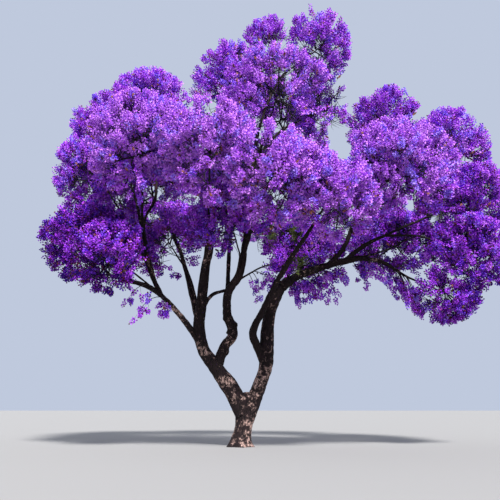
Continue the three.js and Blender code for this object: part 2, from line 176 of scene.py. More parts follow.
# Masses of blossom in millimetres, as in the solids: the middle and the radii of the space of each. Open
# is how thin it is, from 0 to 1, where the photograph shows sky through it, and shade is how much deeper
# its tints are where the photograph shows it in shadow.
MASSES = {
    "top_left": {"middle": (-400, -200, 11800), "radii": (1400, 1800, 1500), "open": 0.45},
    "top_peak": {"middle": (2650, 0, 13250), "radii": (1200, 1600, 1550), "open": 0.4},
    "top_middle": {"middle": (1100, 400, 13050), "radii": (1350, 1700, 1550), "open": 0.6},
    "top_right": {"middle": (2750, 500, 11200), "radii": (1150, 1700, 1450), "open": 0.45},
    "top_front": {"middle": (1100, -2100, 10300), "radii": (1900, 1700, 1750), "open": 0.4},
    "top_back": {"middle": (1500, 2600, 11800), "radii": (2100, 1700, 1800), "open": 0.7},
    "middle_front": {"middle": (900, -3800, 7200), "radii": (1500, 1600, 1500)},
    "middle_front_left": {"middle": (-800, -3500, 8000), "radii": (1500, 1700, 1600)},
    "right_inner_front": {"middle": (2500, -3400, 6700), "radii": (1400, 1600, 1300)},
    "back_middle": {"middle": (-100, 3900, 9300), "radii": (2300, 2100, 2100), "open": 0.3},
    "inner_low": {"middle": (-250, -1100, 6600), "radii": (1600, 1400, 1300), "open": 0.25},
    "under_middle": {"middle": (1950, 500, 5900), "radii": (1550, 1600, 1250), "open": 0.15},
    "low_left": {"middle": (-4780, -400, 6200), "radii": (1550, 1800, 1400), "shade": 0.26},
    "low_left_front": {
        "middle": (-3700, -1900, 5400), "radii": (1400, 1500, 1150), "open": 0.2, "shade": 0.26,
    },
    "low_inner_left": {"middle": (-2500, 900, 6650), "radii": (1500, 1800, 1400), "open": 0.3},
    "far_left": {"middle": (-4650, 0, 8500), "radii": (1550, 2000, 1600), "open": 0.15},
    "left_front": {"middle": (-2800, -2800, 8400), "radii": (1700, 1800, 1700)},
    "left_crest": {"middle": (-3100, 100, 10900), "radii": (1500, 1900, 1500), "open": 0.15},
    "left_shoulder": {"middle": (-4450, 500, 10300), "radii": (1450, 1900, 1400), "open": 0.2},
    "back_left": {"middle": (-3400, 3200, 8900), "radii": (2300, 2100, 2000), "open": 0.3},
    "right_crest": {"middle": (4900, 300, 10400), "radii": (1350, 1800, 1450), "open": 0.25},
    "right_shoulder": {"middle": (6750, 0, 9400), "radii": (1500, 1900, 1500), "open": 0.25},
    "right_front": {"middle": (4500, -2800, 7700), "radii": (1800, 1700, 1600)},
    "far_right": {"middle": (7200, -200, 7600), "radii": (1500, 1900, 1500), "open": 0.15},
    "low_right": {"middle": (6950, -900, 5700), "radii": (1500, 1600, 1300), "open": 0.2},
    "low_right_back": {"middle": (5200, 900, 6400), "radii": (1700, 1700, 1300), "open": 0.1},
    "weeping_right": {
        "middle": (6250, -600, 4550), "radii": (1200, 1400, 1000), "open": 0.5, "droops": True,
    },
    "back_right": {"middle": (3900, 3500, 8900), "radii": (2500, 2100, 2000), "open": 0.3},
}

# The solids' rule of growth, in shares and metres
TURN_AT = 0.33  # share of the way to its mass where a bough without bends turns to it
LEAVE_ALONG = 0.14  # how far it follows its parent first, as a share of that way
OVERLAP = 0.090  # how far before its parent's tip a limb starts that goes on from there
ENTRY = 0.62  # how far from its mass's middle a bough ends, as a share of the mass's mean radius
STEM = 0.8  # length of the stem that goes on from there, in the same way
ARMS = 6
ARM_FEET = (0.95, 0.5)  # shares of the stem from which and towards which the arms leave it in turn
SPREAD = 1.6  # how far round its heading the arms spread, where 2 is all round
RISE = 0.2  # how much arms and tiers bend upwards
DROOP = -0.5  # and in a mass that droops

# How the rule goes on to finer twigs, which gather in tiers: shallow domes that face outwards and up
ARM_END = 0.72  # share of an arm's way to the edge of the space where it ends
ARM_BOW = 0.1  # how far an arm bows upwards, as a share of its length
GRAFT_SHARES = np.linspace(0.3, 1.0, 11)  # places along an arm where a branchlet may start
AVERAGE_RADIUS = 1.55  # mean radius of a mass of average size
FEWEST_TIERS = 6
TIER_SPREAD = 1.85  # how far round tiers spread, in the same way as arms
TIER_JITTER = 0.12  # how far the way to a tier strays from its even place
TIER_SIZES = (0.75, 1.2)  # radii of tiers, in average ones
TIER_LAYERS = (1.0, 0.92, 1.0, 0.55)  # how far out tiers lie in turn, as shares of the way to the edge
TIER_SET_BACK = 0.4  # how much further in their middles lie, for the twigs that stick out
TIER_LEAST_OUT = 0.3  # share of the way to the edge that they keep at the least
TIER_LIFT = 0.8  # how much a tier faces up rather than outwards
TIER_LIFT_DROOPING = 0.35  # and in a mass that droops
TIER_DOME = 0.35  # how far a tier's rim lies behind its middle, as a share of its radius
TIER_STALK = 0.55  # how far behind its middle its branchlet ends, in the same way
BRANCHLET_BEND = 0.45  # share of its way where a branchlet turns from its arm to its tier
BRANCHLET_FOLLOW = 0.2  # how far it follows the arm by then, as a share of that way
TWIGS_FROM = 0.7  # share of a branchlet where its first twig starts
TWIG_PLACE = 0.6  # place of a twig's tip in its own ring of the tier, from 0 to 1
TWIG_JITTER = 0.15  # how far it strays from there
TWIG_BEND = 0.55  # share of its way where a twig turns up
TWIG_SAG = 0.14  # how far it sags by then, as a share of its length
TWIG_LEAST = 0.1  # share of its length that a shortened twig keeps at the least
STRAYS = 0.4  # share of the twigs that stick out of their tier
STRAY_LENGTH = (1.1, 1.9)  # how many times longer they are
TWIGLET_FROM = 0.4  # share of a twig where its first twiglet starts
TWIGLET_LENGTH = (0.07, 0.36)
TWIGLET_LEAN = (1.3, 0.35)  # how far a twiglet leans out at the foot of its twig and at its tip
TWIGLET_PULL = 1.1  # how much twiglets turn the way their tier faces
PANICLE_SIZES = (0.6, 1.4)  # lengths of panicles, in average ones
PANICLE_JITTER = 0.2  # how far a panicle turns from the way of its twiglet
PANICLE_END = 1.1  # how far its last florets reach, in its own length
LEAST_FIT = 0.35  # share of its length below which a shortened twiglet carries nothing
MINGLING = 0.16  # how far blossom may pass into a neighbour's space
LIMB_ROOM = 0.06  # what a panicle keeps clear of a limb's bark
LIMB_STEP = 0.25  # distance between the places on a limb that are tested
FEWEST_PLACES = 8
FLORET_ROOM = 0.1  # what the end of a panicle keeps clear of the edge, for the florets round it

# What a mass goes without. A fully open one has no panicles on these shares of its twigs and tiers, and
# any one is thinned by a share of its panicles at its underside, up to a share of its height.
OPEN_TWIGS = 0.7
OPEN_TIERS = 0.6
THIN_BELOW = 0.35
THIN_UP_TO = 0.45
POD_GATHERING = (2.0, 0.5)  # how many times the share of pods hangs at the foot of a mass and at its top

# What makes blossom paler, as shares of the way from its deepest tint to its palest: painted light
# and shade, and tone that differs at random
LIT_BY_HEIGHT = 0.16  # from the foot of its mass to its top
LIT_ON_TIER = 0.18  # from behind its tier to its face
LIT_OUTSIDE = 0.42  # towards the front and the back of the tree
LIT_ON_TREE = 0.22  # from the lowest blossom up
PALER_TIERS = 0.08  # from tier to tier at random
PALER_SPRAYS = 0.38  # and from spray to spray
OUTSIDE_FROM = 1.4  # distance from the plane y = 0 where blossom starts to turn paler
OUTSIDE_RISE = 2.6  # distance over which it does
LOWEST_TINT = 5.4  # height where the blossom has its deepest tint
TINT_RISE = 4.6  # height over which it turns to its palest

# Wood in a mass: the radius of each kind at its foot and its tip, and the sides and steps of its tubes.
# The stem's radii are shares of its bough's, a twiglet's are metres, and the others are shares of the
# mass's mean radius.
STEM_WOOD = (1.0, 0.3, 10, 8)
ARM_WOOD = (0.019, 0.006, 6, 6)
BRANCHLET_WOOD = (0.011, 0.005, 5, 4)
TWIG_WOOD = (0.006, 0.003, 4, 3)
TWIGLET_WOOD = (0.006, 0.003, 3, 1)
STEM_SUNK = 0.03  # how far the stem's foot is sunk into the bough
SPRAY_AXIS = 0.7  # share of a panicle's length that its twiglet runs up inside it

# Stretches of limb that the photograph shows through the blossom, as shares of their length
SHOWN_LIMBS = {
    "arch_bough": (0.22, 1.0),
    "weeping_bough": (0.0, 0.6),
    "right_bough": (0.0, 0.9),
    "right_riser": (0.0, 0.3),
    "left_bough": (0.0, 0.6),
    "left_riser": (0.0, 0.55),
    "left_arm": (0.3, 0.7),
    "left_limb": (0.3, 0.5),
    "middle_limb": (0.62, 1.0),
    "top_right_bough": (0.2, 0.8),
}
SHOWN_ROOM = (0.02, 0.14)  # what blossom in front of them keeps clear of their outline
SHOWN_PLACES = 40  # places on each stretch that are tested

# Hanging twigs under the boughs: the stretch of limb they hang from, as shares of its length, and their
# number
FRINGES = {
    "arch_bough": (0.08, 1.0, 20),
    "weeping_bough": (0.10, 0.8, 16),
    "under_middle_bough": (0.15, 0.6, 3),
    "low_left_front_bough": (0.1, 0.8, 5),
}
FRINGE = {
    "reach": (0.4, 1.1),
    "forward": 0.5,  # how much a hanging twig sets out along its bough
    "down": 0.3,  # how much it sets out downwards
    "stretch": 0.6,  # length of each half, as a share of its reach
    "turned": 0.5,  # how much its lower half keeps to the way of the upper one
    "pull": 0.4,  # how much its twiglets turn down
    "twiglets": 0.7,  # their length, in those of a mass
    "panicles": (0.4, 0.9),  # lengths of its panicles, in average ones
    "tints": (0.3, 0.95),
    "wood": (0.014, 0.005, 5, 5),
    "open": 0.35,  # share of its twiglets that go without panicles
}

# Openings through which the photograph shows sky: x and z where the view line crosses y = 0, and their
# radius
SKY_GAPS = [
    (0.93, 13.33, 0.28),
    (1.45, 13.45, 0.28),
    (2.04, 13.40, 0.30),
    (2.67, 13.50, 0.26),
    (3.26, 13.29, 0.20),
    (2.60, 13.05, 0.28),
    (1.23, 12.44, 0.28),
    (0.71, 12.40, 0.20),
    (1.60, 12.10, 0.25),
    (3.26, 12.30, 0.12),
    (3.11, 11.84, 0.20),
    (3.50, 11.39, 0.24),
    (-1.74, 11.02, 0.25),
    (-1.00, 11.00, 0.38),
    (1.38, 10.41, 0.38),
    (3.20, 9.95, 0.28),
    (3.45, 9.30, 0.42),
    (5.75, 11.50, 0.26),
    (5.86, 10.60, 0.32),
    (-2.79, 7.22, 0.30),
    (-2.28, 6.38, 0.35),
    (-0.50, 5.60, 0.42),
    (-1.43, 7.74, 0.25),
    (5.88, 5.52, 0.20),
    (6.71, 5.13, 0.20),
]

RAGGED = (0.5, 1.3)  # shares of the radius out to which points count as seen through them

# Where the photograph shows tufts of young leaves, in the same way
LEAF_TUFTS = [
    (1.05, 6.55, 0.28),
    (1.75, 6.50, 0.28),
    (1.82, 5.55, 0.20),
    (6.50, 7.21, 0.20),
    (-0.02, 5.46, 0.22),
]


# Small tools for arrays of vectors


def unit(vectors):
    """Vectors scaled to length 1, along the last axis."""
    return vectors / np.linalg.norm(vectors, axis=-1, keepdims=True)


def smooth(share):
    """Eases a share from 0 to 1: three times its square less twice its cube."""
    share = np.clip(share, 0.0, 1.0)
    return share * share * (3 - 2 * share)


def mix(a, b, share):
    """The value a share of the way from a to b."""
    return a + (b - a) * share


def frames(directions):
    """Two unit vectors at right angles to each direction. The first lies level, or along Y where the
    direction stands upright, and the second is the direction crossed with the first."""
    steep = np.abs(directions[..., 2:]) > STEEP
    reference = np.where(steep, np.array([1.0, 0.0, 0.0]), UP)
    side = unit(np.cross(reference, directions))
    return side, np.cross(directions, side)


def whorl(axes, count, start):
    """Directions at right angles to each axis, which turn round it by the golden angle from a start."""
    turn = (np.arange(count) * GOLDEN_TURN + start)[..., None]
    side, over = frames(axes)
    return np.cos(turn) * side[:, None] + np.sin(turn) * over[:, None]


def lattice_noise(around, along, cells, rng):
    """Smooth noise from 0 to 1. Random values stand on a lattice that closes round the limb, and each
    place takes the mean of the four nearest, weighted by its eased distances to them."""
    across, up = cells
    values = rng.random((across, up + 2))
    x = np.mod(around, 1.0) * across
    y = np.clip(along, 0.0, 1.0) * up
    i = np.floor(x).astype(int)
    j = np.floor(y).astype(int)
    near, far = i % across, (i + 1) % across
    a, b = smooth(x - i), smooth(y - j)
    low = mix(values[near, j], values[far, j], a)
    high = mix(values[near, j + 1], values[far, j + 1], a)
    return mix(low, high, b)


# Limbs and the spaces of the masses


class Limb:
    """One limb's curve: a centripetal Catmull-Rom spline through its points, kept as close samples with
    their distance from the foot."""

    SAMPLES = 40  # on each stretch between two points

    def __init__(self, points, girth, taper=1.0):
        points = np.asarray(points, float)
        knots = np.vstack([2 * points[0] - points[1], points, 2 * points[-1] - points[-2]])
        gaps = np.sqrt(np.linalg.norm(np.diff(knots, axis=0), axis=1))
        t = np.linspace(0, 1, self.SAMPLES, endpoint=False)[:, None]
        stretches = []
        for k in range(len(points) - 1):
            a, b, c, d = knots[k : k + 4]
            before, here, after = gaps[k : k + 3]
            slope_in = here * ((b - a) / before - (c - a) / (before + here) + (c - b) / here)
            slope_out = here * ((c - b) / here - (d - b) / (here + after) + (d - c) / after)
            stretches.append(
                (2 * t**3 - 3 * t**2 + 1) * b
                + (t**3 - 2 * t**2 + t) * slope_in
                + (3 * t**2 - 2 * t**3) * c
                + (t**3 - t**2) * slope_out
            )
        self.samples = np.vstack([*stretches, points[-1:]])
        steps = np.linalg.norm(np.diff(self.samples, axis=0), axis=1)
        self.run = np.concatenate([[0.0], np.cumsum(steps)])
        self.length = self.run[-1]
        self.girth = girth
        self.taper = taper
        self.parent = None
        self.at = 0.0
        self.stem_top = None

    def place(self, share):
        """Points at shares of the length."""
        along = np.asarray(share, float) * self.length
        return np.stack([np.interp(along, self.run, axis) for axis in self.samples.T], axis=-1)

    def heading(self, share):
        """Unit directions at shares of the length, from the places just before and after."""
        share = np.asarray(share, float)
        step = 0.01 / self.length
        return unit(self.place(np.minimum(share + step, 1)) - self.place(np.maximum(share - step, 0)))

    def radius(self, share):
        """Radii at shares of the length."""
        foot, tip = self.girth
        return tip + (foot - tip) * (1 - np.asarray(share, float)) ** self.taper


def mean_radius(mass):
    """The mean of the three radii of a mass's space, in metres."""
    return sum(MASSES[mass]["radii"]) / 3 * MM


def middle_of(mass):
    """The middle of a mass's space, in metres."""
    return np.array(MASSES[mass]["middle"]) * MM


def lay_out_limbs():
    """Every limb's curve, by name. A limb without bends first follows its parent and then turns to its
    mass. One that carries a mass ends where it enters it, and a stem goes on from there."""
    limbs = {}
    for name, drawing in LIMBS.items():
        parent = limbs.get(drawing.get("on"))
        mass = drawing.get("mass")
        at = min(drawing["at"], 1 - OVERLAP / parent.length) if parent else 0.0
        foot = parent.place(at) if parent else np.array(drawing["foot"]) * MM
        if "bends" in drawing:
            bends = [np.array(bend) * MM for bend in drawing["bends"]]
        else:
            way = middle_of(mass) - foot
            follow = parent.heading(at) * LEAVE_ALONG * np.linalg.norm(way)
            bends = [foot + way * TURN_AT + follow]
        if mass:
            inwards = middle_of(mass) - bends[-1]
            outside = np.linalg.norm(inwards) - ENTRY * mean_radius(mass)
            tip = bends[-1] + unit(inwards) * outside
        else:
            tip = np.array(drawing["tip"]) * MM
        girth = [radius * MM for radius in drawing["girth"]]
        limb = Limb([foot, *bends, tip], girth, drawing.get("taper", 1.0))
        limb.parent, limb.at = parent, at
        if mass:
            limb.stem_top = tip + limb.heading(1.0) * STEM * mean_radius(mass)
        limbs[name] = limb
    return limbs


class Space:
    """The space of one mass: an ellipsoid, cut off flat where its sphere of mean radius crosses a
    neighbour's. Blossom of neighbours mingles, so it may pass the cut by a little."""

    SLOWEST = 1e-6  # a ray that closes in on a cut more slowly than this never crosses it

    def __init__(self, name):
        self.seed = list(MASSES).index(name)
        self.middle = middle_of(name)
        self.radii = np.array(MASSES[name]["radii"]) * MM
        self.mean = mean_radius(name)
        self.droops = MASSES[name].get("droops", False)
        self.lift = DROOP if self.droops else RISE
        others = [other for other in MASSES if other != name]
        across = np.array([middle_of(other) for other in others]) - self.middle
        distance = np.linalg.norm(across, axis=1)
        theirs = np.array([mean_radius(other) for other in others])
        self.normals = across / distance[:, None]
        self.limits = (distance**2 + self.mean**2 - theirs**2) / (2 * distance) + MINGLING

    def reach(self, starts, rays):
        """How far each ray runs from its start before it leaves the space. It is 0 or less outside."""
        out = starts - self.middle
        start = out / self.radii
        step = rays / self.radii
        half = np.sum(start * step, axis=-1)
        square = np.sum(step * step, axis=-1)
        outside = np.sum(start * start, axis=-1) - 1
        round_exit = (np.sqrt(np.maximum(half**2 - square * outside, 0.0)) - half) / square
        round_exit = np.where(outside > 0, 0.0, round_exit)
        closing = rays @ self.normals.T
        room = self.limits - out @ self.normals.T
        flat_exit = np.where(closing > self.SLOWEST, room / np.maximum(closing, self.SLOWEST), np.inf)
        return np.minimum(round_exit, flat_exit.min(axis=-1))


def spread_rays(heading, count, seed, lift, spread=SPREAD):
    """Directions spread evenly round a heading by the golden angle, bent upwards by the lift."""
    k = np.arange(count)
    polar = np.arccos(1 - spread * (k + 0.5) / count)
    turn = k * GOLDEN_TURN + seed
    side = unit(np.cross(UP, heading))
    over = np.cross(heading, side)
    rays = (
        np.cos(polar)[:, None] * heading
        + (np.sin(polar) * np.cos(turn))[:, None] * side
        + (np.sin(polar) * np.sin(turn))[:, None] * over
    )
    return unit(rays + lift * UP)


def bow(root, bend, tip, share):
    """Points on the curves that leave each root towards its bend and end at its tip. They weigh the root
    by the square of what the share lacks of 1, the tip by the share's square, and the bend by twice the
    share times what it lacks."""
    share = np.asarray(share, float)[..., None]
    return (1 - share) ** 2 * root + 2 * share * (1 - share) * bend + share**2 * tip


def clear_of_limbs(points, limbs):
    """Whether each point keeps its room to every limb's bark."""
    clear = np.ones(len(points), bool)
    for limb in limbs.values():
        shares = np.linspace(0, 1, max(FEWEST_PLACES, int(limb.length / LIMB_STEP)))
        gaps = np.linalg.norm(points[:, None] - limb.place(shares), axis=-1) - limb.radius(shares)
        clear &= gaps.min(axis=1) > LIMB_ROOM
    return clear


def seen_in(points, rounds, eye, rng):
    """Whether the line from the eye to each point crosses the plane y = 0 within one of the rounds,
    which are an x, a z and a radius each. Their edges are ragged: each point takes its own share of the
    radius."""
    share = -eye[1] / (points[:, 1] - eye[1])
    crossing = eye + (points - eye) * share[:, None]
    places = np.array(rounds)
    apart = np.hypot(crossing[:, None, 0] - places[:, 0], crossing[:, None, 2] - places[:, 1])
    return np.any(apart < places[:, 2] * rng.uniform(*RAGGED, (len(points), 1)), axis=1)


def hides_limb(points, limbs, eye, rng):
    """Whether each point stands between the eye and a stretch of limb that shows: nearer to the eye, and
    closer to the line from the eye to the limb than its radius and some room."""
    hides = np.zeros(len(points), bool)
    clear = rng.uniform(*SHOWN_ROOM, (len(points), 1))
    out = points - eye
    for name, (start, end) in SHOWN_LIMBS.items():
        shares = np.linspace(start, end, SHOWN_PLACES)
        sight = limbs[name].place(shares) - eye
        distance = np.linalg.norm(sight, axis=-1)
        along = out @ (sight / distance[:, None]).T
        square = np.sum(out**2, axis=-1)[:, None] - along**2
        room = limbs[name].radius(shares) + clear
        hides |= np.any((along < distance) & (square < room**2), axis=1)
    return hides


def spread_arms(space, bough):
    """The arms of a mass, as in the solids: where they leave the stem, their bends, their tips and their
    directions. They spread evenly round the bough's heading and bow up, or down in a drooping mass."""
    rays = spread_rays(bough.heading(1.0), ARMS, space.seed, space.lift)
    at = mix(*ARM_FEET, np.arange(ARMS) / ARMS)
    root = mix(bough.place(1.0), bough.stem_top, at[:, None])
    length = space.reach(root, rays) * ARM_END
    tip = root + rays * length[:, None]
    bend = (root + tip) / 2 + ARM_BOW * length[:, None] * UP * np.sign(space.lift)
    return root, bend, tip, rays


def lay_tiers(space, bough, arms, crown, rng):
    """The tiers of a mass, spread evenly over it: their middles, the ways they face, their radii, and
    their branchlets, which each lead behind the tier from the nearest place on an arm."""
    count = max(FEWEST_TIERS, round(crown.tiers * (space.mean / AVERAGE_RADIUS) ** 2))
    rays = spread_rays(bough.heading(1.0), count, space.seed, space.lift, TIER_SPREAD)
    rays = unit(rays + rng.normal(0, TIER_JITTER, rays.shape))
    face = unit(rays + (TIER_LIFT_DROOPING if space.droops else TIER_LIFT) * UP)
    radius = crown.tier_radius * rng.uniform(*TIER_SIZES, count)
    whole = space.reach(space.middle, rays)
    out = np.maximum(whole * np.resize(TIER_LAYERS, count) - TIER_SET_BACK, TIER_LEAST_OUT * whole)
    middle = space.middle + rays * out[:, None]
    stalk = middle - face * (TIER_STALK * radius)[:, None]
    arm_root, arm_bend, arm_tip, arm_rays = arms
    grafts = bow(arm_root[:, None], arm_bend[:, None], arm_tip[:, None], GRAFT_SHARES[None, :])
    apart = np.linalg.norm(stalk[:, None, None] - grafts, axis=-1).reshape(count, -1)
    nearest = apart.argmin(axis=1)
    lead = grafts.reshape(-1, 3)[nearest]
    follow = arm_rays[nearest // len(GRAFT_SHARES)] * BRANCHLET_FOLLOW * apart.min(axis=1)[:, None]
    bend = mix(lead, stalk, BRANCHLET_BEND) + follow
    return middle, face, radius, (lead, bend, stalk)


def fan_twigs(space, tiers, crown, rng):
    """The twigs, which leave the outer part of each branchlet like the ribs of a sunshade and turn up at
    their tips: their roots, bends and tips, and the tier of each. The tips lie on the tier's dome, whose
    depth grows with the square of the distance from its middle. A twig that would leave the space is
    shortened."""
    middle, face, radius, branchlets = tiers
    ribs = crown.twigs
    rib = np.arange(ribs)
    lead, lead_bend, stalk = (points[:, None] for points in branchlets)
    root = bow(lead, lead_bend, stalk, mix(TWIGS_FROM, 1.0, rib / ribs)[None, :])
    out = whorl(face, ribs, rng.uniform(0, 2 * np.pi, (len(middle), 1)))
    off = np.sqrt((rib + TWIG_PLACE) / ribs) * radius[:, None]
    tip = middle[:, None] + off[..., None] * out
    tip = tip - face[:, None] * (TIER_DOME * off**2 / radius[:, None])[..., None]
    tip = tip + rng.normal(0, TWIG_JITTER, tip.shape)
    longer = rng.uniform(*STRAY_LENGTH, off.shape)
    stray = np.where(rng.random(off.shape) < STRAYS, longer, 1.0)
    tip = mix(root, tip, stray[..., None])
    length = np.linalg.norm(tip - root, axis=-1)
    room = space.reach(root, unit(tip - root)) - 0.5 * crown.panicle_length
    fit = np.clip(room / length, TWIG_LEAST, 1.0)[..., None]
    tip = mix(root, tip, fit)
    bend = mix(root, tip, TWIG_BEND) - face[:, None] * (TWIG_SAG * length)[..., None] * fit
    tier = np.repeat(np.arange(len(middle)), ribs)
    return [points.reshape(-1, 3) for points in (root, bend, tip)], tier


def wood_along(curves, wood, scale=1.0):
    """One kind of wood as pointed_tubes takes it: its curves, its radii times a scale, and its mesh."""
    foot_radius, tip_radius, *mesh = wood
    return (*curves, foot_radius * scale, tip_radius * scale, *mesh)


def grow(name, limbs, crown, eye):
    """Grows one mass. A stem goes on from its bough and arms spread from it, as in the solids.
    Branchlets lead from the arms to tiers, each a fan of twigs, and twiglets on them end in a panicle, a
    leaf tuft or pods."""
    mass = MASSES[name]
    space = Space(name)
    rng = np.random.default_rng(space.seed)
    bough = next(limb for key, limb in limbs.items() if LIMBS[key].get("mass") == name)
    arms = spread_arms(space, bough)
    tiers = lay_tiers(space, bough, arms, crown, rng)
    twigs, tier = fan_twigs(space, tiers, crown, rng)
    tier_middle, face, _, branchlets = tiers
    let_root, way = twiglets(*twigs, crown.twiglets, TWIGLET_PULL * face[tier], rng)
    tier = np.repeat(tier, crown.twiglets)
    let_length = rng.uniform(*TWIGLET_LENGTH, len(way))
    length = crown.panicle_length * rng.uniform(*PANICLE_SIZES, len(way))

    # Near the edge of the space a twiglet is shortened to fit, and its panicle by the root of that share
    room = space.reach(let_root, way) - FLORET_ROOM
    fit = np.minimum(1.0, room / (let_length + PANICLE_END * length))
    base = let_root + way * (let_length * fit)[:, None]
    axis = unit(way + rng.normal(0, PANICLE_JITTER, way.shape))
    length = length * np.sqrt(np.maximum(fit, 0.0))
    tip = base + axis * length[:, None]

    # What has no room, would touch a limb or hide one that shows, or would close a gap in the crown is
    # left out. An open mass also goes without the panicles of whole twigs and tiers.
    height = 0.5 + 0.5 * np.clip((base - space.middle)[:, 2] / space.radii[2], -1, 1)
    middle = base + axis * 0.5 * length[:, None]
    each, count, opened = crown.twiglets, len(tier_middle), mass.get("open", 0.0)
    kept = fit > LEAST_FIT
    kept &= clear_of_limbs(base, limbs) & clear_of_limbs(tip, limbs)
    kept &= ~seen_in(middle, SKY_GAPS, eye, rng) & ~hides_limb(middle, limbs, eye, rng)
    kept &= np.repeat(rng.random(count * crown.twigs), each) > OPEN_TWIGS * opened
    kept &= np.repeat(rng.random(count), crown.twigs * each) > OPEN_TIERS * opened
    kept &= rng.random(len(base)) > THIN_BELOW * (1 - smooth(height / THIN_UP_TO))

    # Leaf tufts where the photograph shows them, pods mostly low down, and blossom everywhere else
    pods = rng.random(len(base)) < crown.pod_share * mix(*POD_GATHERING, height)
    kind = np.where(pods, "pods", "blossom")
    kind = np.where(seen_in(base, LEAF_TUFTS, eye, rng), "leaves", kind)

    # Painted light: blossom is palest high on the tree, on its mass and on its tier, and at the front
    # and the back; painted shade deepens a mass that lies in shade, and tiers and sprays differ at
    # random
    behind = np.sum((tier_middle[tier] - base) * face[tier], axis=-1) / crown.tier_radius
    outside = smooth((np.abs(base[:, 1]) - OUTSIDE_FROM) / OUTSIDE_RISE)
    tint = LIT_BY_HEIGHT * height + LIT_ON_TIER * (1 - smooth(behind)) + LIT_OUTSIDE * outside
    tint = tint + LIT_ON_TREE * smooth((base[:, 2] - LOWEST_TINT) / TINT_RISE)
    tint = tint + PALER_TIERS * rng.random(count)[tier] + PALER_SPRAYS * rng.random(len(base))
    tint = tint - mass.get("shade", 0.0)

    foot, top = bough.place(1.0), bough.stem_top
    stem = (foot - bough.heading(1.0) * STEM_SUNK, mix(foot, top, 0.5), top)
    twiglet = (let_root[kept], base[kept], mix(base, tip, SPRAY_AXIS)[kept])
    wood = [
        wood_along([point[None] for point in stem], STEM_WOOD, bough.girth[1]),
        wood_along(arms[:3], ARM_WOOD, space.mean),
        wood_along(branchlets, BRANCHLET_WOOD, space.mean),
        wood_along(twigs, TWIG_WOOD, space.mean),
        wood_along(twiglet, TWIGLET_WOOD),
    ]
    return {"wood": wood, "sprays": deal_out(kind, kept, base, axis, length, tint, rng)}


def twiglets(root, bend, tip, each, pull, rng):
    """Twiglets round the outer part of each twig, the last one at its tip: where each starts, and its
    way, which leans out from the twig, less so towards the tip, and then turns by the twig's pull."""
    shares = np.tile(np.linspace(TWIGLET_FROM, 1.0, each), (len(root), 1))
    start = bow(root[:, None], bend[:, None], tip[:, None], shares)
    along = unit(tip - bend)
    out = whorl(along, each, rng.uniform(0, 2 * np.pi, (len(root), 1)))
    lean = mix(*TWIGLET_LEAN, shares)[..., None]
    way = unit(along[:, None] + lean * out) + pull[:, None]
    return start.reshape(-1, 3), unit(way).reshape(-1, 3)


def deal_out(kind, kept, base, axis, length, tint, rng):
    """The sprays of each kind that are kept: where each starts, its direction, its length, its tint from
    0 for shaded to 1 for sunlit, and its turn about its own axis."""
    roll = rng.uniform(0, 2 * np.pi, len(base))
    sprays = {}
    for key in ("blossom", "leaves", "pods"):
        ours = kept & (kind == key)
        sprays[key] = (base[ours], axis[ours], length[ours], tint[ours], roll[ours])
    return sprays


def hang_fringe(limbs, crown):
    """Grows the hanging twigs under the boughs. Each leaves its bough sideways and along it, and turns
    down by its own weight. It carries twiglets with small panicles."""
    rng = np.random.default_rng(SEEDS["fringe"])
    root = []
    heading = []
    for name, (start, end, count) in FRINGES.items():
        share = rng.uniform(start, end, count)
        root.append(limbs[name].place(share))
        heading.append(limbs[name].heading(share))
    root = np.vstack(root)
    heading = np.vstack(heading)
    sideways = unit(np.cross(heading, UP)) * rng.uniform(-1, 1, (len(root), 1))
    reach = rng.uniform(*FRINGE["reach"], (len(root), 1))
    way = unit(FRINGE["forward"] * heading + sideways - FRINGE["down"] * UP)
    bend = root + way * FRINGE["stretch"] * reach
    tip = bend + unit(FRINGE["turned"] * way - UP) * FRINGE["stretch"] * reach
    pull = np.tile(-FRINGE["pull"] * UP, (len(root), 1))
    let_root, way = twiglets(root, bend, tip, crown.twiglets + 1, pull, rng)
    base = let_root + way * rng.uniform(*TWIGLET_LENGTH, (len(way), 1)) * FRINGE["twiglets"]
    axis = unit(way + rng.normal(0, PANICLE_JITTER, way.shape))
    length = crown.panicle_length * rng.uniform(*FRINGE["panicles"], len(way))
    ends = base + axis * length[:, None]
    kept = clear_of_limbs(base, limbs) & clear_of_limbs(ends, limbs)
    kept &= rng.random(len(base)) > FRINGE["open"]
    tint = rng.uniform(*FRINGE["tints"], len(base))
    kind = np.where(rng.random(len(base)) < crown.pod_share, "pods", "blossom")
    twiglet = (let_root[kept], base[kept], mix(base, ends, SPRAY_AXIS)[kept])
    wood = [wood_along((root, bend, tip), FRINGE["wood"]), wood_along(twiglet, TWIGLET_WOOD)]
    return {"wood": wood, "sprays": deal_out(kind, kept, base, axis, length, tint, rng)}


# Meshes from arrays


def add_piece(name, points, faces, materials, slots=None, shade_smooth=True):
    """Puts points and triangles into a new object at the origin that rides on the tree's one body."""
    mesh = bpy.data.meshes.new(name)
    mesh.vertices.add(len(points))
    mesh.vertices.foreach_set("co", np.ascontiguousarray(points, np.float32).ravel())
    mesh.loops.add(faces.size)
    mesh.loops.foreach_set("vertex_index", np.ascontiguousarray(faces, np.int32).ravel())
    mesh.polygons.add(len(faces))
    mesh.polygons.foreach_set("loop_start", np.arange(0, faces.size, 3, dtype=np.int32))
    for material in materials:
        mesh.materials.append(material)
    if slots is not None:
        mesh.polygons.foreach_set("material_index", np.ascontiguousarray(slots, np.int32))
    mesh.polygons.foreach_set("use_smooth", np.full(len(faces), shade_smooth))
    mesh.update(calc_edges=True)
    mesh.validate()
    piece = bpy.data.objects.new(name, mesh)
    bpy.context.scene.collection.objects.link(piece)
    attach(piece, "root")
    return piece


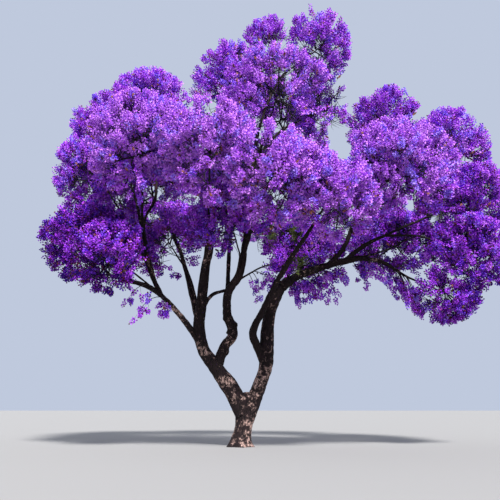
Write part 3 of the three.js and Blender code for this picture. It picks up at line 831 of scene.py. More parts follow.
def skin(rings, foot_pole, tip_pole):
    """A closed skin over rings of points, which run from foot to tip. Each ring is joined to the next by
    two triangles a side, and each end closes in a fan round its pole."""
    rows, sides, _ = rings.shape
    points = np.vstack([rings.reshape(-1, 3), foot_pole, tip_pole])
    row, k = np.meshgrid(np.arange(rows - 1), np.arange(sides), indexing="ij")
    a = (row * sides + k).ravel()
    b = (row * sides + (k + 1) % sides).ravel()
    c, d = b + sides, a + sides
    k = np.arange(sides)
    after = (k + 1) % sides
    last = (rows - 1) * sides
    foot = np.full(sides, rows * sides)
    faces = np.vstack([
        np.stack([a, b, c], 1),
        np.stack([a, c, d], 1),
        np.stack([after, k, foot], 1),
        np.stack([last + k, last + after, foot + 1], 1),
    ])
    return points, faces


def pointed_tubes(root, bend, tip, foot_radius, tip_radius, sides, steps):
    """Tapering tubes along the curves from root by bend to tip, one for each row of the arrays. Each has
    a flat foot, rings of sides points at even steps, and a point at its tip."""
    count = len(root)
    share = np.arange(steps) / steps
    spine = bow(root[:, None], bend[:, None], tip[:, None], share[None, :])
    way = unit(mix(bend[:, None] - root[:, None], tip[:, None] - bend[:, None], share[None, :, None]))
    side, over = frames(way)
    angle = np.arange(sides) * 2 * np.pi / sides
    radius = mix(np.reshape(foot_radius, (-1, 1)), np.reshape(tip_radius, (-1, 1)), share)
    ring = side[:, :, None] * np.cos(angle)[:, None] + over[:, :, None] * np.sin(angle)[:, None]
    rings = spine[:, :, None] + ring * radius[..., None, None]
    points = np.concatenate([rings.reshape(count, -1, 3), tip[:, None]], axis=1)
    k = np.arange(sides)
    after = (k + 1) % sides
    last = (steps - 1) * sides
    faces = [np.stack([last + k, last + after, np.full(sides, steps * sides)], 1)]
    for row in range(steps - 1):
        a, b = row * sides + k, row * sides + after
        faces += [np.stack([a, b, b + sides], 1), np.stack([a, b + sides, a + sides], 1)]
    faces.append(np.stack([k[2:], k[1:-1], np.zeros(sides - 2, int)], 1))
    faces = np.vstack(faces)
    offsets = np.arange(count) * points.shape[1]
    return points.reshape(-1, 3), (faces[None] + offsets[:, None, None]).reshape(-1, 3)


def join(parts):
    """Several (points, faces) as one."""
    start = np.cumsum([0] + [len(points) for points, _ in parts[:-1]])
    points = np.vstack([points for points, _ in parts])
    faces = np.vstack([faces + first for (_, faces), first in zip(parts, start)])
    return points, faces


def copies(template, faces, base, columns, size):
    """Copies of a small shape: its x, y and z times each size along that copy's three unit columns, from
    its base."""
    points = base[:, None] + size[:, None, None] * (
        template[None, :, :1] * columns[0][:, None]
        + template[None, :, 1:2] * columns[1][:, None]
        + template[None, :, 2:] * columns[2][:, None]
    )
    offsets = np.arange(len(base)) * len(template)
    return points.reshape(-1, 3), (faces[None] + offsets[:, None, None]).reshape(-1, 3)


# What the sprays are made of

PANICLE_TAPER = 0.7  # how much narrower a panicle is at its tip
FLORET_FOOT = 0.35  # how far from its panicle's axis a floret starts, as a share of the half width there
FLORET_FORWARD = 0.6  # how much it leans towards the panicle's tip
FLORET_NOD = 0.15  # how much it hangs
FLORET_TAPER = 0.35  # how much smaller florets are at the tip
FLORET_RIM = (1.0, 0.8, 0.9)  # heights of the corners of its rim
MOTTLE = 0.17  # how far the tints of florets stray from their panicle's
WITHERED_IN = (0.12, 0.01)  # share of withered florets in the deepest and in the palest blossom
LEAVES_IN_TUFT = 6
LEAFLET_PAIRS = 7
LEAFLETS_FROM = 0.2  # share of the leaf's length where they start
LEAFLET_LENGTH = 0.3  # the longest, as a share of the leaf's length
LEAFLET_ARC = (0.15, 0.8)  # share of half a turn where the sine of their lengths starts, and its run
LEAFLET_CORNERS = (-0.05, 0.08, 0.03)  # how far along the leaf a leaflet's foot, tip and foot lie
LEAF_FORWARD = 0.9  # how much a leaf leans towards the way of its twiglet
PODS_IN_CLUSTER = 4
POD_EDGE = 7  # corners round a pod
POD_RADIUS = 0.034
POD_BULGE = 0.16  # half a pod's thickness, as a share of its radius
POD_SWING = 0.35  # how far a pod hangs out of plumb


def floret_shape():
    """Points and faces of a floret of length 1 along Z: a trumpet of three faces that open from a narrow
    foot to an uneven rim."""
    angle = np.arange(3) * 2 * np.pi / 3
    rim = np.stack([0.5 * np.cos(angle), 0.5 * np.sin(angle), FLORET_RIM], 1)
    k = np.arange(3)
    faces = np.stack([np.zeros(3, int), 1 + k, 1 + (k + 1) % 3], 1)
    return np.vstack([[0.0, 0.0, 0.0], rim]), faces


def leaf_shape():
    """Points and faces of a feathered leaf of length 1 along Z: a row of leaflets of one face each on
    either side. Their length follows a sine along the leaf, longest near its middle."""
    none = np.zeros(LEAFLET_PAIRS)
    along = np.linspace(LEAFLETS_FROM, 1.0, LEAFLET_PAIRS)
    start, run = LEAFLET_ARC
    leaflet = LEAFLET_LENGTH * np.sin(np.pi * (start + run * along))
    lower, tip, upper = LEAFLET_CORNERS
    corners = []
    for hand in (-1, 1):
        corners.append(np.stack([
            np.stack([none, none, along + lower], 1),
            np.stack([hand * leaflet, none, along + tip], 1),
            np.stack([none, none, along + upper], 1),
        ], 1).reshape(-1, 3))
    points = np.vstack(corners)
    return points, np.arange(len(points)).reshape(-1, 3)


def pod_shape():
    """Points and faces of a pod of radius 1 that hangs by its rim along Z: two low cones, rim to rim."""
    angle = np.arange(POD_EDGE) * 2 * np.pi / POD_EDGE
    rim = np.stack([np.cos(angle), np.zeros(POD_EDGE), 1 - np.sin(angle)], 1)
    k = np.arange(POD_EDGE)
    after = (k + 1) % POD_EDGE
    faces = np.vstack([
        np.stack([np.zeros(POD_EDGE, int), 2 + after, 2 + k], 1),
        np.stack([np.ones(POD_EDGE, int), 2 + k, 2 + after], 1),
    ])
    return np.vstack([[0.0, -POD_BULGE, 1.0], [0.0, POD_BULGE, 1.0], rim]), faces


# Bark

FEWEST_FURROWS = 5  # round a limb
FEWEST_PLATES = 3  # along it
THICK = 0.12  # radius from which a limb has furrows of full depth
UNEVEN_LENGTH = 0.6  # length of an uneven stretch of limb
FURROW_EDGE = 0.5  # how far from its middle value noise still sinks the bark
FINE_DEPTH = 0.45  # depth of the finer furrows, as a share of the others'
RING_SPACING = 0.05
FACET = 0.02  # width of a face round a limb, where its number of sides allows
LIMB_SIDES = (16, 96)
FOOT_GOING_ON = 1.05  # radius at its foot of a limb that goes on from its parent's tip, in the parent's
FOOT_SWELLING = 1.5  # and of any other limb, in its own
FOOT_LIMIT = 0.95  # what that is at the most, in the parent's
FOOT_FADE = 2.6  # length over which the swelling fades, in the parent's radius
TIP_LEFT = 0.02  # share of its radius that a limb's tip keeps, where its pole closes it
BURL_RADIUS = 0.1  # radius of a limb at its burls, for distances round it
TRUNK_SIDES = 128
TRUNK_ROWS = 72
DOME_ROWS = 18
DOME_LEFT = 0.002  # share of its radius that the crotch keeps, in the same way


def furrows(around, along, girth, length, bark, rng):
    """How far bark stands out, in metres. Furrows lie where smooth noise, drawn out along the limb,
    passes its middle value, a finer set crosses them, and slow noise makes the limb uneven."""
    across = max(FEWEST_FURROWS, round(2 * np.pi * girth / bark.furrow_spacing))
    up = max(FEWEST_PLATES, round(length / bark.plate_length))
    wander = lattice_noise(around, along, (max(3, across // 3), up), rng) - 0.5
    coarse = np.abs(2 * lattice_noise(around + wander / across, along, (across, up), rng) - 1)
    fine = np.abs(2 * lattice_noise(around, along, (2 * across, 3 * up), rng) - 1)
    slow = lattice_noise(around, along, (3, max(2, round(length / UNEVEN_LENGTH))), rng) - 0.5
    depth = bark.furrow_depth * min(1.0, girth / THICK)
    sunk = (1 - smooth(coarse / FURROW_EDGE)) + FINE_DEPTH * (1 - smooth(fine / FURROW_EDGE))
    return bark.unevenness * girth * slow - depth * sunk


def limb_rings(limb, bark, rng, burls=()):
    """A limb's rings of points. Its radius swells towards the foot, where it leaves its parent, and its
    tip is rounded off. Each burl is a bell-shaped swelling: its height times the exponential of minus
    the square of the distance in its widths."""
    foot_radius = limb.girth[0]
    sides = int(np.clip(2 * np.pi * foot_radius / FACET, *LIMB_SIDES))
    rows = int(limb.length / RING_SPACING)
    share = np.linspace(0, 1, rows)
    radius = limb.radius(share)
    if limb.parent is not None:
        theirs = limb.parent.radius(limb.at)
        goes_on = limb.at > 1 - 2 * OVERLAP / limb.parent.length
        swollen = min(FOOT_SWELLING * foot_radius, FOOT_LIMIT * theirs)
        foot = FOOT_GOING_ON * theirs if goes_on else swollen
        fade = 1 - smooth(share * limb.length / (FOOT_FADE * theirs))
        radius = radius + max(foot - foot_radius, 0) * fade
    angle = np.arange(sides) / sides
    around, along = np.meshgrid(angle, share)
    spread = radius[:, None] + furrows(around, along, foot_radius, limb.length, bark, rng)
    for at, turn, height, width in burls:
        aside = (np.mod(around - turn + 0.5, 1) - 0.5) * 2 * np.pi * BURL_RADIUS
        away = np.hypot((along - at) * limb.length, aside)
        spread += height * np.exp(-((away / width) ** 2))
    # The tip closes in a dome of its own radius
    left = (1 - share) * limb.length / radius[-1]
    dome = np.sqrt(1 - (1 - np.clip(left, 0.0, 1.0)) ** 2)
    spread *= dome[:, None] * (1 - TIP_LEFT) + TIP_LEFT
    way = limb.heading(share)
    steepness = np.abs(way).max(axis=0)
    reference = np.eye(3)[steepness.argmin()]
    side = unit(np.cross(reference, way))
    over = np.cross(way, side)
    turn = 2 * np.pi * angle
    ring = side[:, None] * np.cos(turn)[:, None] + over[:, None] * np.sin(turn)[:, None]
    return limb.place(share)[:, None] + ring * spread[..., None]


def trunk_rings(bark, rng):
    """The trunk's rings of points, from the flat cut at the ground up. Its radius is its waist, with
    root lobes below that die away, and the fork's swelling across X above. It closes in a dome in the
    crotch."""
    rise = np.linspace(0, np.pi / 2, DOME_ROWS + 1)[1:]
    height = np.concatenate([
        np.linspace(0, TRUNK["height"], TRUNK_ROWS),
        TRUNK["height"] + CROTCH_RISE * np.sin(rise),
    ])
    close = np.concatenate([np.ones(TRUNK_ROWS), np.cos(rise) + DOME_LEFT])
    angle = np.arange(TRUNK_SIDES) / TRUNK_SIDES
    around, up = np.meshgrid(angle, height)
    turn = 2 * np.pi * around
    lobes = 1 + TRUNK["lobe_depth"] * np.cos(TRUNK["flare_lobes"] * turn + TRUNK["lobe_turn"])
    flare = TRUNK["flare"] * lobes * np.exp(-up / TRUNK["flare_fade"])
    start = TRUNK["fork_from"] * TRUNK["height"]
    widening = smooth((up - start) / (TRUNK["height"] - start))
    radius = TRUNK["waist"] + flare + TRUNK["fork"] * widening * np.cos(turn) ** 2
    radius += furrows(around, up / height[-1], TRUNK["waist"], height[-1], bark, rng)
    radius *= close[:, None]
    lean = TRUNK["lean"] * smooth(up / TRUNK["height"])
    return np.stack([lean + radius * np.cos(turn), radius * np.sin(turn), up], axis=-1)


# Materials


def hex_colour(code):
    """An sRGB hex value as linear red, green and blue."""
    channels = [int(code[i : i + 2], 16) / 255 for i in (1, 3, 5)]
    return [c / 12.92 if c <= 0.04045 else ((c + 0.055) / 1.055) ** 2.4 for c in channels]


def add_node(tree, kind, values=None, links=None, **settings):
    """Adds one node, sets its settings and input values, and links its inputs to outputs of others."""
    node = tree.nodes.new(kind)
    for key, value in settings.items():
        setattr(node, key, value)
    for key, value in (values or {}).items():
        node.inputs[key].default_value = value
    for key, output in (links or {}).items():
        tree.links.new(output, node.inputs[key])
    return node


def new_material(name):
    """An empty material, its node tree, and its Principled shader, joined to the output."""
    material = bpy.data.materials.new(name)
    material.use_nodes = True
    tree = material.node_tree
    tree.nodes.clear()
    shader = add_node(tree, "ShaderNodeBsdfPrincipled")
    add_node(tree, "ShaderNodeOutputMaterial", links={"Surface": shader.outputs["BSDF"]})
    return material, tree, shader


def furrowed_bark(bark):
    """Old jacaranda bark: dead cork in thin upright plates. It is matt and darker in its furrows,
    painted nearly black there as shade, and has painted patches of sunlight in a pinkish tan, most of
    them low down."""
    material, tree, shader = new_material("Furrowed bark")
    place = add_node(tree, "ShaderNodeTexCoord").outputs["Object"]
    # Plates about 25 mm wide and 120 mm long
    plates = add_node(tree, "ShaderNodeMapping", {"Scale": (40.0, 40.0, 8.0)}, {"Vector": place})
    grain = add_node(tree, "ShaderNodeTexNoise", {"Scale": 1.0, "Detail": 5.0, "Roughness": 0.6},
                     {"Vector": plates.outputs["Vector"]})
    # Partly painted shade: the furrows, where the bump sinks, are darker and painted nearly black
    raised = add_node(tree, "ShaderNodeMapRange", {"From Min": 0.36, "From Max": 0.62},
                      {"Value": grain.outputs["Fac"]})
    plain = add_node(tree, "ShaderNodeMix",
                     {6: (*bark.furrow_colour, 1.0), 7: (*bark.plate_colour, 1.0)},
                     {0: raised.outputs["Result"]}, data_type="RGBA")
    # Painted light: the raised plates turn a pinkish tan where a patch of sunlight falls
    sunlit_plates = add_node(tree, "ShaderNodeMix", {6: (*bark.plate_colour, 1.0), 7: (*bark.sunlit_patch_colour, 1.0)},
                    {0: raised.outputs["Result"]}, data_type="RGBA")
    # Painted patches of sunlight about 150 mm across, in groups about a metre apart
    sun_flecks = add_node(tree, "ShaderNodeTexNoise", {"Scale": 7.0, "Detail": 6.0, "Roughness": 0.75},
                     {"Vector": place})
    apart = add_node(tree, "ShaderNodeMapping", {"Location": (0.3, 0.0, 0.6), "Scale": (0.9, 0.9, 0.9)},
                     {"Vector": place})
    groups = add_node(tree, "ShaderNodeTexNoise", {"Scale": 1.0, "Detail": 1.0},
                      {"Vector": apart.outputs["Vector"]})
    both = add_node(tree, "ShaderNodeMath", {1: 0.6},
                    {0: groups.outputs["Fac"], 2: sun_flecks.outputs["Fac"]}, operation="MULTIPLY_ADD")
    # Most of them lie low down, out of the crown's shade, and few above 4500 mm
    height = add_node(tree, "ShaderNodeSeparateXYZ", links={"Vector": place})
    foot = add_node(tree, "ShaderNodeMapRange",
                    {"From Min": 0.0, "From Max": 4.5, "To Min": 0.05, "To Max": -0.05},
                    {"Value": height.outputs["Z"]})
    reached = add_node(tree, "ShaderNodeMath",
                       links={0: both.outputs["Value"], 1: foot.outputs["Result"]}, operation="ADD")
    where = add_node(tree, "ShaderNodeMapRange", {"From Min": 0.86, "From Max": 0.96},
                     {"Value": reached.outputs["Value"]})
    colour = add_node(tree, "ShaderNodeMix",
                      links={0: where.outputs["Result"], 6: plain.outputs[2], 7: sunlit_plates.outputs[2]},
                      data_type="RGBA")
    bump = add_node(tree, "ShaderNodeBump", {"Strength": 0.7, "Distance": 0.008},
                    {"Height": grain.outputs["Fac"]})
    tree.links.new(colour.outputs[2], shader.inputs["Base Color"])
    tree.links.new(bump.outputs["Normal"], shader.inputs["Normal"])
    shader.inputs["Roughness"].default_value = 0.92
    shader.inputs["Specular IOR Level"].default_value = 0.25
    return material


def young_bark(bark):
    """Bark of young wood: thin, smoother and darker than on the limbs, with paler breathing pores."""
    material, tree, shader = new_material("Young bark")
    place = add_node(tree, "ShaderNodeTexCoord").outputs["Object"]
    # Pores about 30 mm apart, as coarse as they need to be to show at all
    grain = add_node(tree, "ShaderNodeTexNoise", {"Scale": 30.0, "Detail": 3.0}, {"Vector": place})
    pores = add_node(tree, "ShaderNodeMapRange", {"From Min": 0.4, "From Max": 0.7},
                     {"Value": grain.outputs["Fac"]})
    colour = add_node(tree, "ShaderNodeMix",
                      {6: (*bark.furrow_colour, 1.0), 7: (*bark.plate_colour, 1.0)},
                      {0: pores.outputs["Result"]}, data_type="RGBA")
    tree.links.new(colour.outputs[2], shader.inputs["Base Color"])
    shader.inputs["Roughness"].default_value = 0.85
    return material


def petals(name, colour):
    """Jacaranda petals: soft and matt, with the faint sheen of their down. Each tint is a plain colour,
    dealt out by panicle, because a single floret shows too small for a pattern. The tints run from
    painted shade to painted light."""
    material, _, shader = new_material(name)
    shader.inputs["Base Color"].default_value = (*colour, 1.0)
    shader.inputs["Roughness"].default_value = 0.6
    shader.inputs["Specular IOR Level"].default_value = 0.12
    shader.inputs["Sheen Weight"].default_value = 0.03
    return material


def plant_skin(name, colour, roughness):
    """Skin of a young leaf, soft and half matt, or of a dry pod, woody and dull, in one of the two tints
    that are dealt out by tuft or cluster: the shaded one as painted shade and the sunlit one as painted
    light, by a tint that also differs at random."""
    material, _, shader = new_material(name)
    shader.inputs["Base Color"].default_value = (*colour, 1.0)
    shader.inputs["Roughness"].default_value = roughness
    return material


def stage_paper(name, colour):
    """Matt painted board under the tree."""
    material, _, shader = new_material(name)
    shader.inputs["Base Color"].default_value = (*colour, 1.0)
    shader.inputs["Roughness"].default_value = 0.9
    return material


# Settings that a user would change


def colour_setting(name, description, code):
    """A colour property whose default is an sRGB hex value."""
    return bpy.props.FloatVectorProperty(
        name=name, description=description, default=hex_colour(code), subtype="COLOR", size=3, min=0.0,
        max=1.0)


def length_setting(name, description, default):
    """A length property in metres."""
    return bpy.props.FloatProperty(
        name=name, description=description, default=default, unit="LENGTH", min=0.0)


def strength_setting(name, description, default):
    """A strength of light, as a plain number."""
    return bpy.props.FloatProperty(name=name, description=description, default=default, min=0.0)


class JacarandaBark(bpy.types.PropertyGroup):
    """Bark of the trunk and limbs."""

    furrow_depth: length_setting("Furrow depth", "Depth of the furrows on the trunk", 0.016)
    furrow_spacing: length_setting("Furrow spacing", "Distance between furrows round a limb", 0.085)
    plate_length: length_setting("Plate length", "Length of a plate of bark along a limb", 0.28)
    unevenness: bpy.props.FloatProperty(
        name="Unevenness", description="How far a limb is from round, as a share of its radius",
        default=0.3, min=0.0, max=1.0, subtype="FACTOR")
    # Partly painted shade: the furrows' own dark colour, painted nearly black as shade
    furrow_colour: colour_setting("Furrow colour", "Colour down in the furrows", "#060404")
    plate_colour: colour_setting("Plate colour", "Colour of the plates", "#241719")
    # Painted light: the colour of the patches of sunlight on the raised plates
    sunlit_patch_colour: colour_setting("Sunlit patch colour", "Painted colour of patches of sunlight", "#c9a79b")


class JacarandaCrown(bpy.types.PropertyGroup):
    """Twigs and panicles of the crown."""

    tiers: bpy.props.IntProperty(
        name="Tiers", description="Tiers of twigs in a mass of average size", default=22, min=1)
    tier_radius: length_setting("Tier radius", "Radius of a tier of average size", 0.52)
    twigs: bpy.props.IntProperty(
        name="Twigs", description="Twigs in each tier", default=8, min=1)
    twiglets: bpy.props.IntProperty(
        name="Twiglets", description="Twiglets on each twig", default=6, min=1)
    florets: bpy.props.IntProperty(
        name="Florets", description="Florets on each panicle", default=14, min=1)
    panicle_length: length_setting("Panicle length", "Length of a panicle of florets", 0.34)
    panicle_width: length_setting("Panicle width", "Width of a panicle at its foot", 0.13)
    floret_length: length_setting("Floret length", "Length of the largest florets", 0.088)
    pod_share: bpy.props.FloatProperty(
        name="Pod share", description="Share of twiglets that carry seed pods", default=0.05,
        min=0.0, max=1.0, subtype="FACTOR")


class JacarandaColours(bpy.types.PropertyGroup):
    """Colours of blossom, leaves and pods."""

    # Painted light and shade: lit, middle and shaded copies of the blossom's colour, in two rows
    sunlit: colour_setting("Sunlit blossom", "Blossom high on a mass", "#c67ee8")
    middle: colour_setting("Blossom", "Blossom at the middle of a mass", "#a83ee0")
    shaded: colour_setting("Shaded blossom", "Blossom low on a mass", "#520a84")
    sunlit_blue: colour_setting("Sunlit bluer blossom", "Bluer blossom high on a mass", "#aa88f2")
    middle_blue: colour_setting("Bluer blossom", "Bluer blossom at the middle of a mass", "#8a3ce2")
    shaded_blue: colour_setting("Shaded bluer blossom", "Bluer blossom low on a mass", "#3c088a")
    blue_share: bpy.props.FloatProperty(
        name="Bluer share", description="Share of the panicles with the bluer tints", default=0.32,
        min=0.0, max=1.0, subtype="FACTOR")
    withered: colour_setting("Withered blossom", "Old blossom low on a mass", "#6e2c40")
    # Painted shade and painted light: the darker and lighter greens go to tufts in shade and in light
    leaf_shaded: colour_setting("Leaf shade", "Darker green of the young leaves", "#435020")
    leaf_sunlit: colour_setting("Leaf", "Lighter green of the young leaves", "#75843c")
    # Painted shade and painted light: the darker and lighter browns go to pod clusters in shade and in
    # light
    pod_shaded: colour_setting("Pod shade", "Darker brown of the pods", "#3c1819")
    pod_sunlit: colour_setting("Pod", "Lighter brown of the pods", "#6c352c")


class JacarandaStage(bpy.types.PropertyGroup):
    """Camera, floor and light."""

    eye: bpy.props.FloatVectorProperty(
        name="Eye", description="Place of the camera", default=(0.30, -20.0, 1.10),
        subtype="TRANSLATION", unit="LENGTH")
    pitch: bpy.props.FloatProperty(
        name="Pitch", description="How far the camera looks up", default=math.radians(13.9),
        subtype="ANGLE")
    lens: bpy.props.FloatProperty(
        name="Lens", description="Focal length", default=46.2, unit="CAMERA", min=1.0)
    sun: strength_setting("Sun", "Strength of the key light", 8.2)
    fill: strength_setting("Fill", "Strength of the fill light", 0.9)
    sky: strength_setting("Sky", "Strength of the light all round", 0.8)
    floor_colour: colour_setting("Floor colour", "Colour of the floor", "#868482")
    sky_colour: colour_setting("Sky colour", "Colour of the light all round", "#d3def4")


# Operators, one for each group of pieces

# Burls on the limbs: the shares of the length and of a turn where each stands, its height and its width
BURLS = {
    "middle_limb": [
        (0.055, 0.05, 0.07, 0.12), (0.085, 0.75, 0.06, 0.10), (0.115, 0.50, 0.07, 0.10),
        (0.135, 0.05, 0.07, 0.09), (0.160, 0.60, 0.05, 0.08),
    ],
    "right_limb": [(0.50, 0.60, 0.05, 0.14)],
    "left_limb": [(0.10, 0.30, 0.05, 0.16)],
}
TINTS = 7  # in each of the two rows, violet and bluer
# Painted shade: the bluer tints stand for the sky's light in the deeper blossom
BLUER_IN = (1.4, 0.5)  # how many times the bluer share holds in the deepest and in the palest blossom


def spray_tints(colours):
    """Two rows of tints, evenly spaced from shaded to sunlit blossom."""
    tints = []
    for row in (
        (colours.shaded, colours.middle, colours.sunlit),
        (colours.shaded_blue, colours.middle_blue, colours.sunlit_blue),
    ):
        shaded, middle, sunlit = (np.array(colour[:]) for colour in row)
        for k in range(TINTS):
            share = 2 * k / (TINTS - 1)
            colour = mix(shaded, middle, share) if share < 1 else mix(middle, sunlit, share - 1)
            tints.append([float(channel) for channel in colour])
    return tints


def each_growth(scene):
    """Each mass's name and what grows in it, and then the fringe."""
    limbs = lay_out_limbs()
    eye = np.array(scene.jacaranda_stage.eye[:])
    for name in MASSES:
        yield name, grow(name, limbs, scene.jacaranda_crown, eye)
    yield "fringe", hang_fringe(limbs, scene.jacaranda_crown)


class JACARANDA_OT_stage(bpy.types.Operator):
    """Makes the floor, the lights and the camera at the photograph's viewing angle."""

    bl_idname = "jacaranda.stage"
    bl_label = "Stage"

    def execute(self, context):
        scene = context.scene
        stage = scene.jacaranda_stage
        half = 400.0
        floor = bpy.data.meshes.new("Floor")
        floor.from_pydata([(-half, -half, 0), (half, -half, 0), (half, half, 0), (-half, half, 0)], [],
                          [(0, 1, 2, 3)])
        floor.materials.append(stage_paper("Pale floor board", stage.floor_colour))
        ground = bpy.data.objects.new("Floor", floor)
        scene.collection.objects.link(ground)

        camera = bpy.data.cameras.new("Camera")
        camera.lens = stage.lens
        camera.clip_end = 1000.0
        viewer = bpy.data.objects.new("Camera", camera)
        viewer.location = stage.eye
        viewer.rotation_euler = (math.pi / 2 + stage.pitch, 0.0, 0.0)
        scene.collection.objects.link(viewer)
        scene.camera = viewer

        for name, strength, width, turn in (
            ("Key light", stage.sun, 10.0, (43.0, 0.0, 15.0)),
            ("Fill light", stage.fill, 60.0, (60.0, 0.0, -120.0)),
        ):
            lamp = bpy.data.lights.new(name, "SUN")
            lamp.energy = strength
            lamp.angle = math.radians(width)
            light = bpy.data.objects.new(name, lamp)
            light.rotation_euler = [math.radians(a) for a in turn]
            scene.collection.objects.link(light)

        world = bpy.data.worlds.new("Pale sky")
        world.use_nodes = True
        world.node_tree.nodes["Background"].inputs["Color"].default_value = (*stage.sky_colour, 1.0)
        world.node_tree.nodes["Background"].inputs["Strength"].default_value = stage.sky
        scene.world = world
        # The standard view keeps violet as saturated as it is in the photograph
        scene.view_settings.view_transform = "Standard"
        return {"FINISHED"}


class JACARANDA_OT_trunk(bpy.types.Operator):
    """Makes the trunk with its bark, root flare and crotch."""

    bl_idname = "jacaranda.trunk"
    bl_label = "Trunk"

    def execute(self, context):
        bark = context.scene.jacaranda_bark
        rings = trunk_rings(bark, np.random.default_rng(SEEDS["trunk"]))
        points, faces = skin(rings, np.array([0.0, 0.0, 0.0]), rings[-1].mean(axis=0))
        trunk = add_piece("bark_trunk", points, faces, [furrowed_bark(bark)])
        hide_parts("trunk")
        return {"FINISHED"}


class JACARANDA_OT_limbs(bpy.types.Operator):
    """Makes each limb with its bark, the swelling at its foot and its burls."""

    bl_idname = "jacaranda.limbs"
    bl_label = "Limbs"

    def execute(self, context):
        bark = context.scene.jacaranda_bark
        material = bpy.data.materials["Furrowed bark"]
        for seed, (name, limb) in enumerate(lay_out_limbs().items(), start=SEEDS["limbs"]):
            rings = limb_rings(limb, bark, np.random.default_rng(seed), BURLS.get(name, ()))
            points, faces = skin(rings, rings[0].mean(axis=0), rings[-1].mean(axis=0))
            piece = add_piece(f"bark_{name}", points, faces, [material])
            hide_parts(name)
        return {"FINISHED"}


class JACARANDA_OT_twigs(bpy.types.Operator):
    """Makes the stem, arms, twigs and twiglets of each mass as one piece, and those of the fringe."""

    bl_idname = "jacaranda.twigs"
    bl_label = "Twigs"

    def execute(self, context):
        material = young_bark(context.scene.jacaranda_bark)
        for name, grown in each_growth(context.scene):
            tubes = join([pointed_tubes(*stage) for stage in grown["wood"]])
            piece = add_piece(f"twigs_{name}", *tubes, [material])
            if name in MASSES:
                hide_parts(f"blossom_{name}")
        return {"FINISHED"}


class JACARANDA_OT_blossom(bpy.types.Operator):
    """Makes the panicles of each mass as one piece, and those of the fringe."""

    bl_idname = "jacaranda.blossom"
    bl_label = "Blossom"

    def execute(self, context):
        crown = context.scene.jacaranda_crown
        colours = context.scene.jacaranda_colours
        rng = np.random.default_rng(SEEDS["blossom"])
        tints = enumerate(spray_tints(colours), start=1)
        materials = [petals(f"Jacaranda petals {number}", tint) for number, tint in tints]
        materials.append(petals("Withered petals", colours.withered))
        floret, faces = floret_shape()
        for name, grown in each_growth(context.scene):
            base, axis, length, tint, roll = grown["sprays"]["blossom"]
            share = (np.arange(crown.florets) + 0.5) / crown.florets
            out = whorl(axis, crown.florets, roll[:, None])
            width = 0.5 * crown.panicle_width * (1 - PANICLE_TAPER * share)[None, :, None]
            foot = base[:, None] + axis[:, None] * (length[:, None] * share)[..., None]
            foot = (foot + out * FLORET_FOOT * width).reshape(-1, 3)
            way = unit(out + FLORET_FORWARD * axis[:, None] - FLORET_NOD * UP).reshape(-1, 3)
            size = crown.floret_length * (1 - FLORET_TAPER * share)
            size = np.broadcast_to(size, out.shape[:2]).ravel()
            across, around = frames(way)
            points, triangles = copies(floret, faces, foot, (across, around, way), size)
            # Most florets have their panicle's tint or one close to it, and a few have withered
            mottle = rng.normal(0, MOTTLE, out.shape[:2])
            slots = np.clip((tint[:, None] + mottle) * TINTS, 0, TINTS - 1).astype(int)
            # Painted shade: the bluer tints gather in the deeper blossom, for the sky's light in the
            # shade, and elsewhere they fall at random
            bluer = rng.random(len(base)) < colours.blue_share * mix(*BLUER_IN, tint)
            slots += np.where(bluer, TINTS, 0)[:, None]
            withered = rng.random(slots.shape) < mix(*WITHERED_IN, tint)[:, None]
            slots = np.repeat(np.where(withered, 2 * TINTS, slots).ravel(), len(faces))
            piece = add_piece(f"florets_{name}", points, triangles, materials, slots, shade_smooth=False)
            if name in MASSES:
                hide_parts(f"blossom_{name}")
        return {"FINISHED"}


class JACARANDA_OT_leaves(bpy.types.Operator):
    """Makes the tufts of young leaves, each of a few feathered leaves."""

    bl_idname = "jacaranda.leaves"
    bl_label = "Leaves"

    def execute(self, context):
        colours = context.scene.jacaranda_colours
        materials = [plant_skin("Shaded young leaf", colours.leaf_shaded[:], roughness=0.6),
                     plant_skin("Sunlit young leaf", colours.leaf_sunlit[:], roughness=0.6)]
        leaf, faces = leaf_shape()
        parts = []
        slots = []
        for _, grown in each_growth(context.scene):
            base, axis, length, tint, roll = grown["sprays"]["leaves"]
            if len(base) == 0:
                continue
            # Painted light and shade: a tuft takes the sunlit or the shaded green by its tint, which
            # also differs at random
            slots.append(np.repeat((tint > 0.5).astype(int), LEAVES_IN_TUFT * len(faces)))
            out = whorl(axis, LEAVES_IN_TUFT, roll[:, None])
            way = unit(out + LEAF_FORWARD * axis[:, None]).reshape(-1, 3)
            foot = np.repeat(base, LEAVES_IN_TUFT, axis=0)
            across, around = frames(way)
            size = np.repeat(length, LEAVES_IN_TUFT)
            parts.append(copies(leaf, faces, foot, (across, around, way), size))
        add_piece("leaf_tufts", *join(parts), materials, np.concatenate(slots), shade_smooth=False)
        return {"FINISHED"}


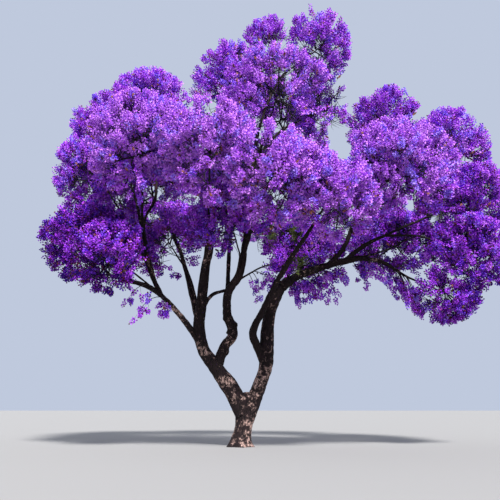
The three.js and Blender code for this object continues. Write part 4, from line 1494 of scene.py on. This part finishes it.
class JACARANDA_OT_pods(bpy.types.Operator):
    """Makes the seed pods, which hang from their twiglets in clusters."""

    bl_idname = "jacaranda.pods"
    bl_label = "Pods"

    def execute(self, context):
        colours = context.scene.jacaranda_colours
        materials = [plant_skin("Shaded dry seed pod", colours.pod_shaded[:], roughness=0.75),
                     plant_skin("Sunlit dry seed pod", colours.pod_sunlit[:], roughness=0.75)]
        pod, faces = pod_shape()
        parts = []
        slots = []
        for _, grown in each_growth(context.scene):
            base, axis, length, tint, roll = grown["sprays"]["pods"]
            # Painted light and shade: a cluster takes the sunlit or the shaded brown by its tint, which
            # also differs at random
            slots.append(np.repeat((tint > 0.5).astype(int), PODS_IN_CLUSTER * len(faces)))
            share = (np.arange(PODS_IN_CLUSTER) + 0.5) / PODS_IN_CLUSTER
            foot = (base[:, None] + axis[:, None] * (length[:, None] * share)[..., None]).reshape(-1, 3)
            turn = (np.arange(PODS_IN_CLUSTER) * GOLDEN_TURN + roll[:, None]).ravel()
            level = np.stack([np.cos(turn), np.sin(turn), np.zeros(len(turn))], 1)
            down = unit(POD_SWING * np.roll(level, 1, axis=1) - UP)
            across = unit(np.cross(level, down))
            through = np.cross(down, across)
            size = np.full(len(foot), POD_RADIUS)
            parts.append(copies(pod, faces, foot, (across, through, down), size))
        add_piece("seed_pods", *join(parts), materials, np.concatenate(slots), shade_smooth=False)
        return {"FINISHED"}


class JACARANDA_PT_panel(bpy.types.Panel):
    """Lists the tree's groups of pieces and their settings."""

    bl_label = "Jacaranda"
    bl_space_type = "VIEW_3D"
    bl_region_type = "UI"
    bl_category = "Jacaranda"

    def draw(self, context):
        for name in SETTINGS:
            box = self.layout.box()
            group = getattr(context.scene, name)
            for key in group.__annotations__:
                box.prop(group, key)
        for operator in OPERATORS:
            self.layout.operator(operator.bl_idname)


SETTINGS = {
    "jacaranda_bark": JacarandaBark,
    "jacaranda_crown": JacarandaCrown,
    "jacaranda_colours": JacarandaColours,
    "jacaranda_stage": JacarandaStage,
}
OPERATORS = (
    JACARANDA_OT_stage,
    JACARANDA_OT_trunk,
    JACARANDA_OT_limbs,
    JACARANDA_OT_twigs,
    JACARANDA_OT_blossom,
    JACARANDA_OT_leaves,
    JACARANDA_OT_pods,
)


def register():
    """Registers the settings, the operators and the panel."""
    for name, group in SETTINGS.items():
        bpy.utils.register_class(group)
        setattr(bpy.types.Scene, name, bpy.props.PointerProperty(type=group))
    for operator in OPERATORS:
        bpy.utils.register_class(operator)
    bpy.utils.register_class(JACARANDA_PT_panel)


def unregister():
    """Removes what register added."""
    bpy.utils.unregister_class(JACARANDA_PT_panel)
    for operator in reversed(OPERATORS):
        bpy.utils.unregister_class(operator)
    for name, group in reversed(SETTINGS.items()):
        delattr(bpy.types.Scene, name)
        bpy.utils.unregister_class(group)


def main():
    """Makes every group of pieces in order."""
    register()
    bpy.ops.jacaranda.stage()
    bpy.ops.jacaranda.trunk()
    bpy.ops.jacaranda.limbs()
    bpy.ops.jacaranda.twigs()
    bpy.ops.jacaranda.blossom()
    bpy.ops.jacaranda.leaves()
    bpy.ops.jacaranda.pods()


if __name__ == "__main__":
    main()
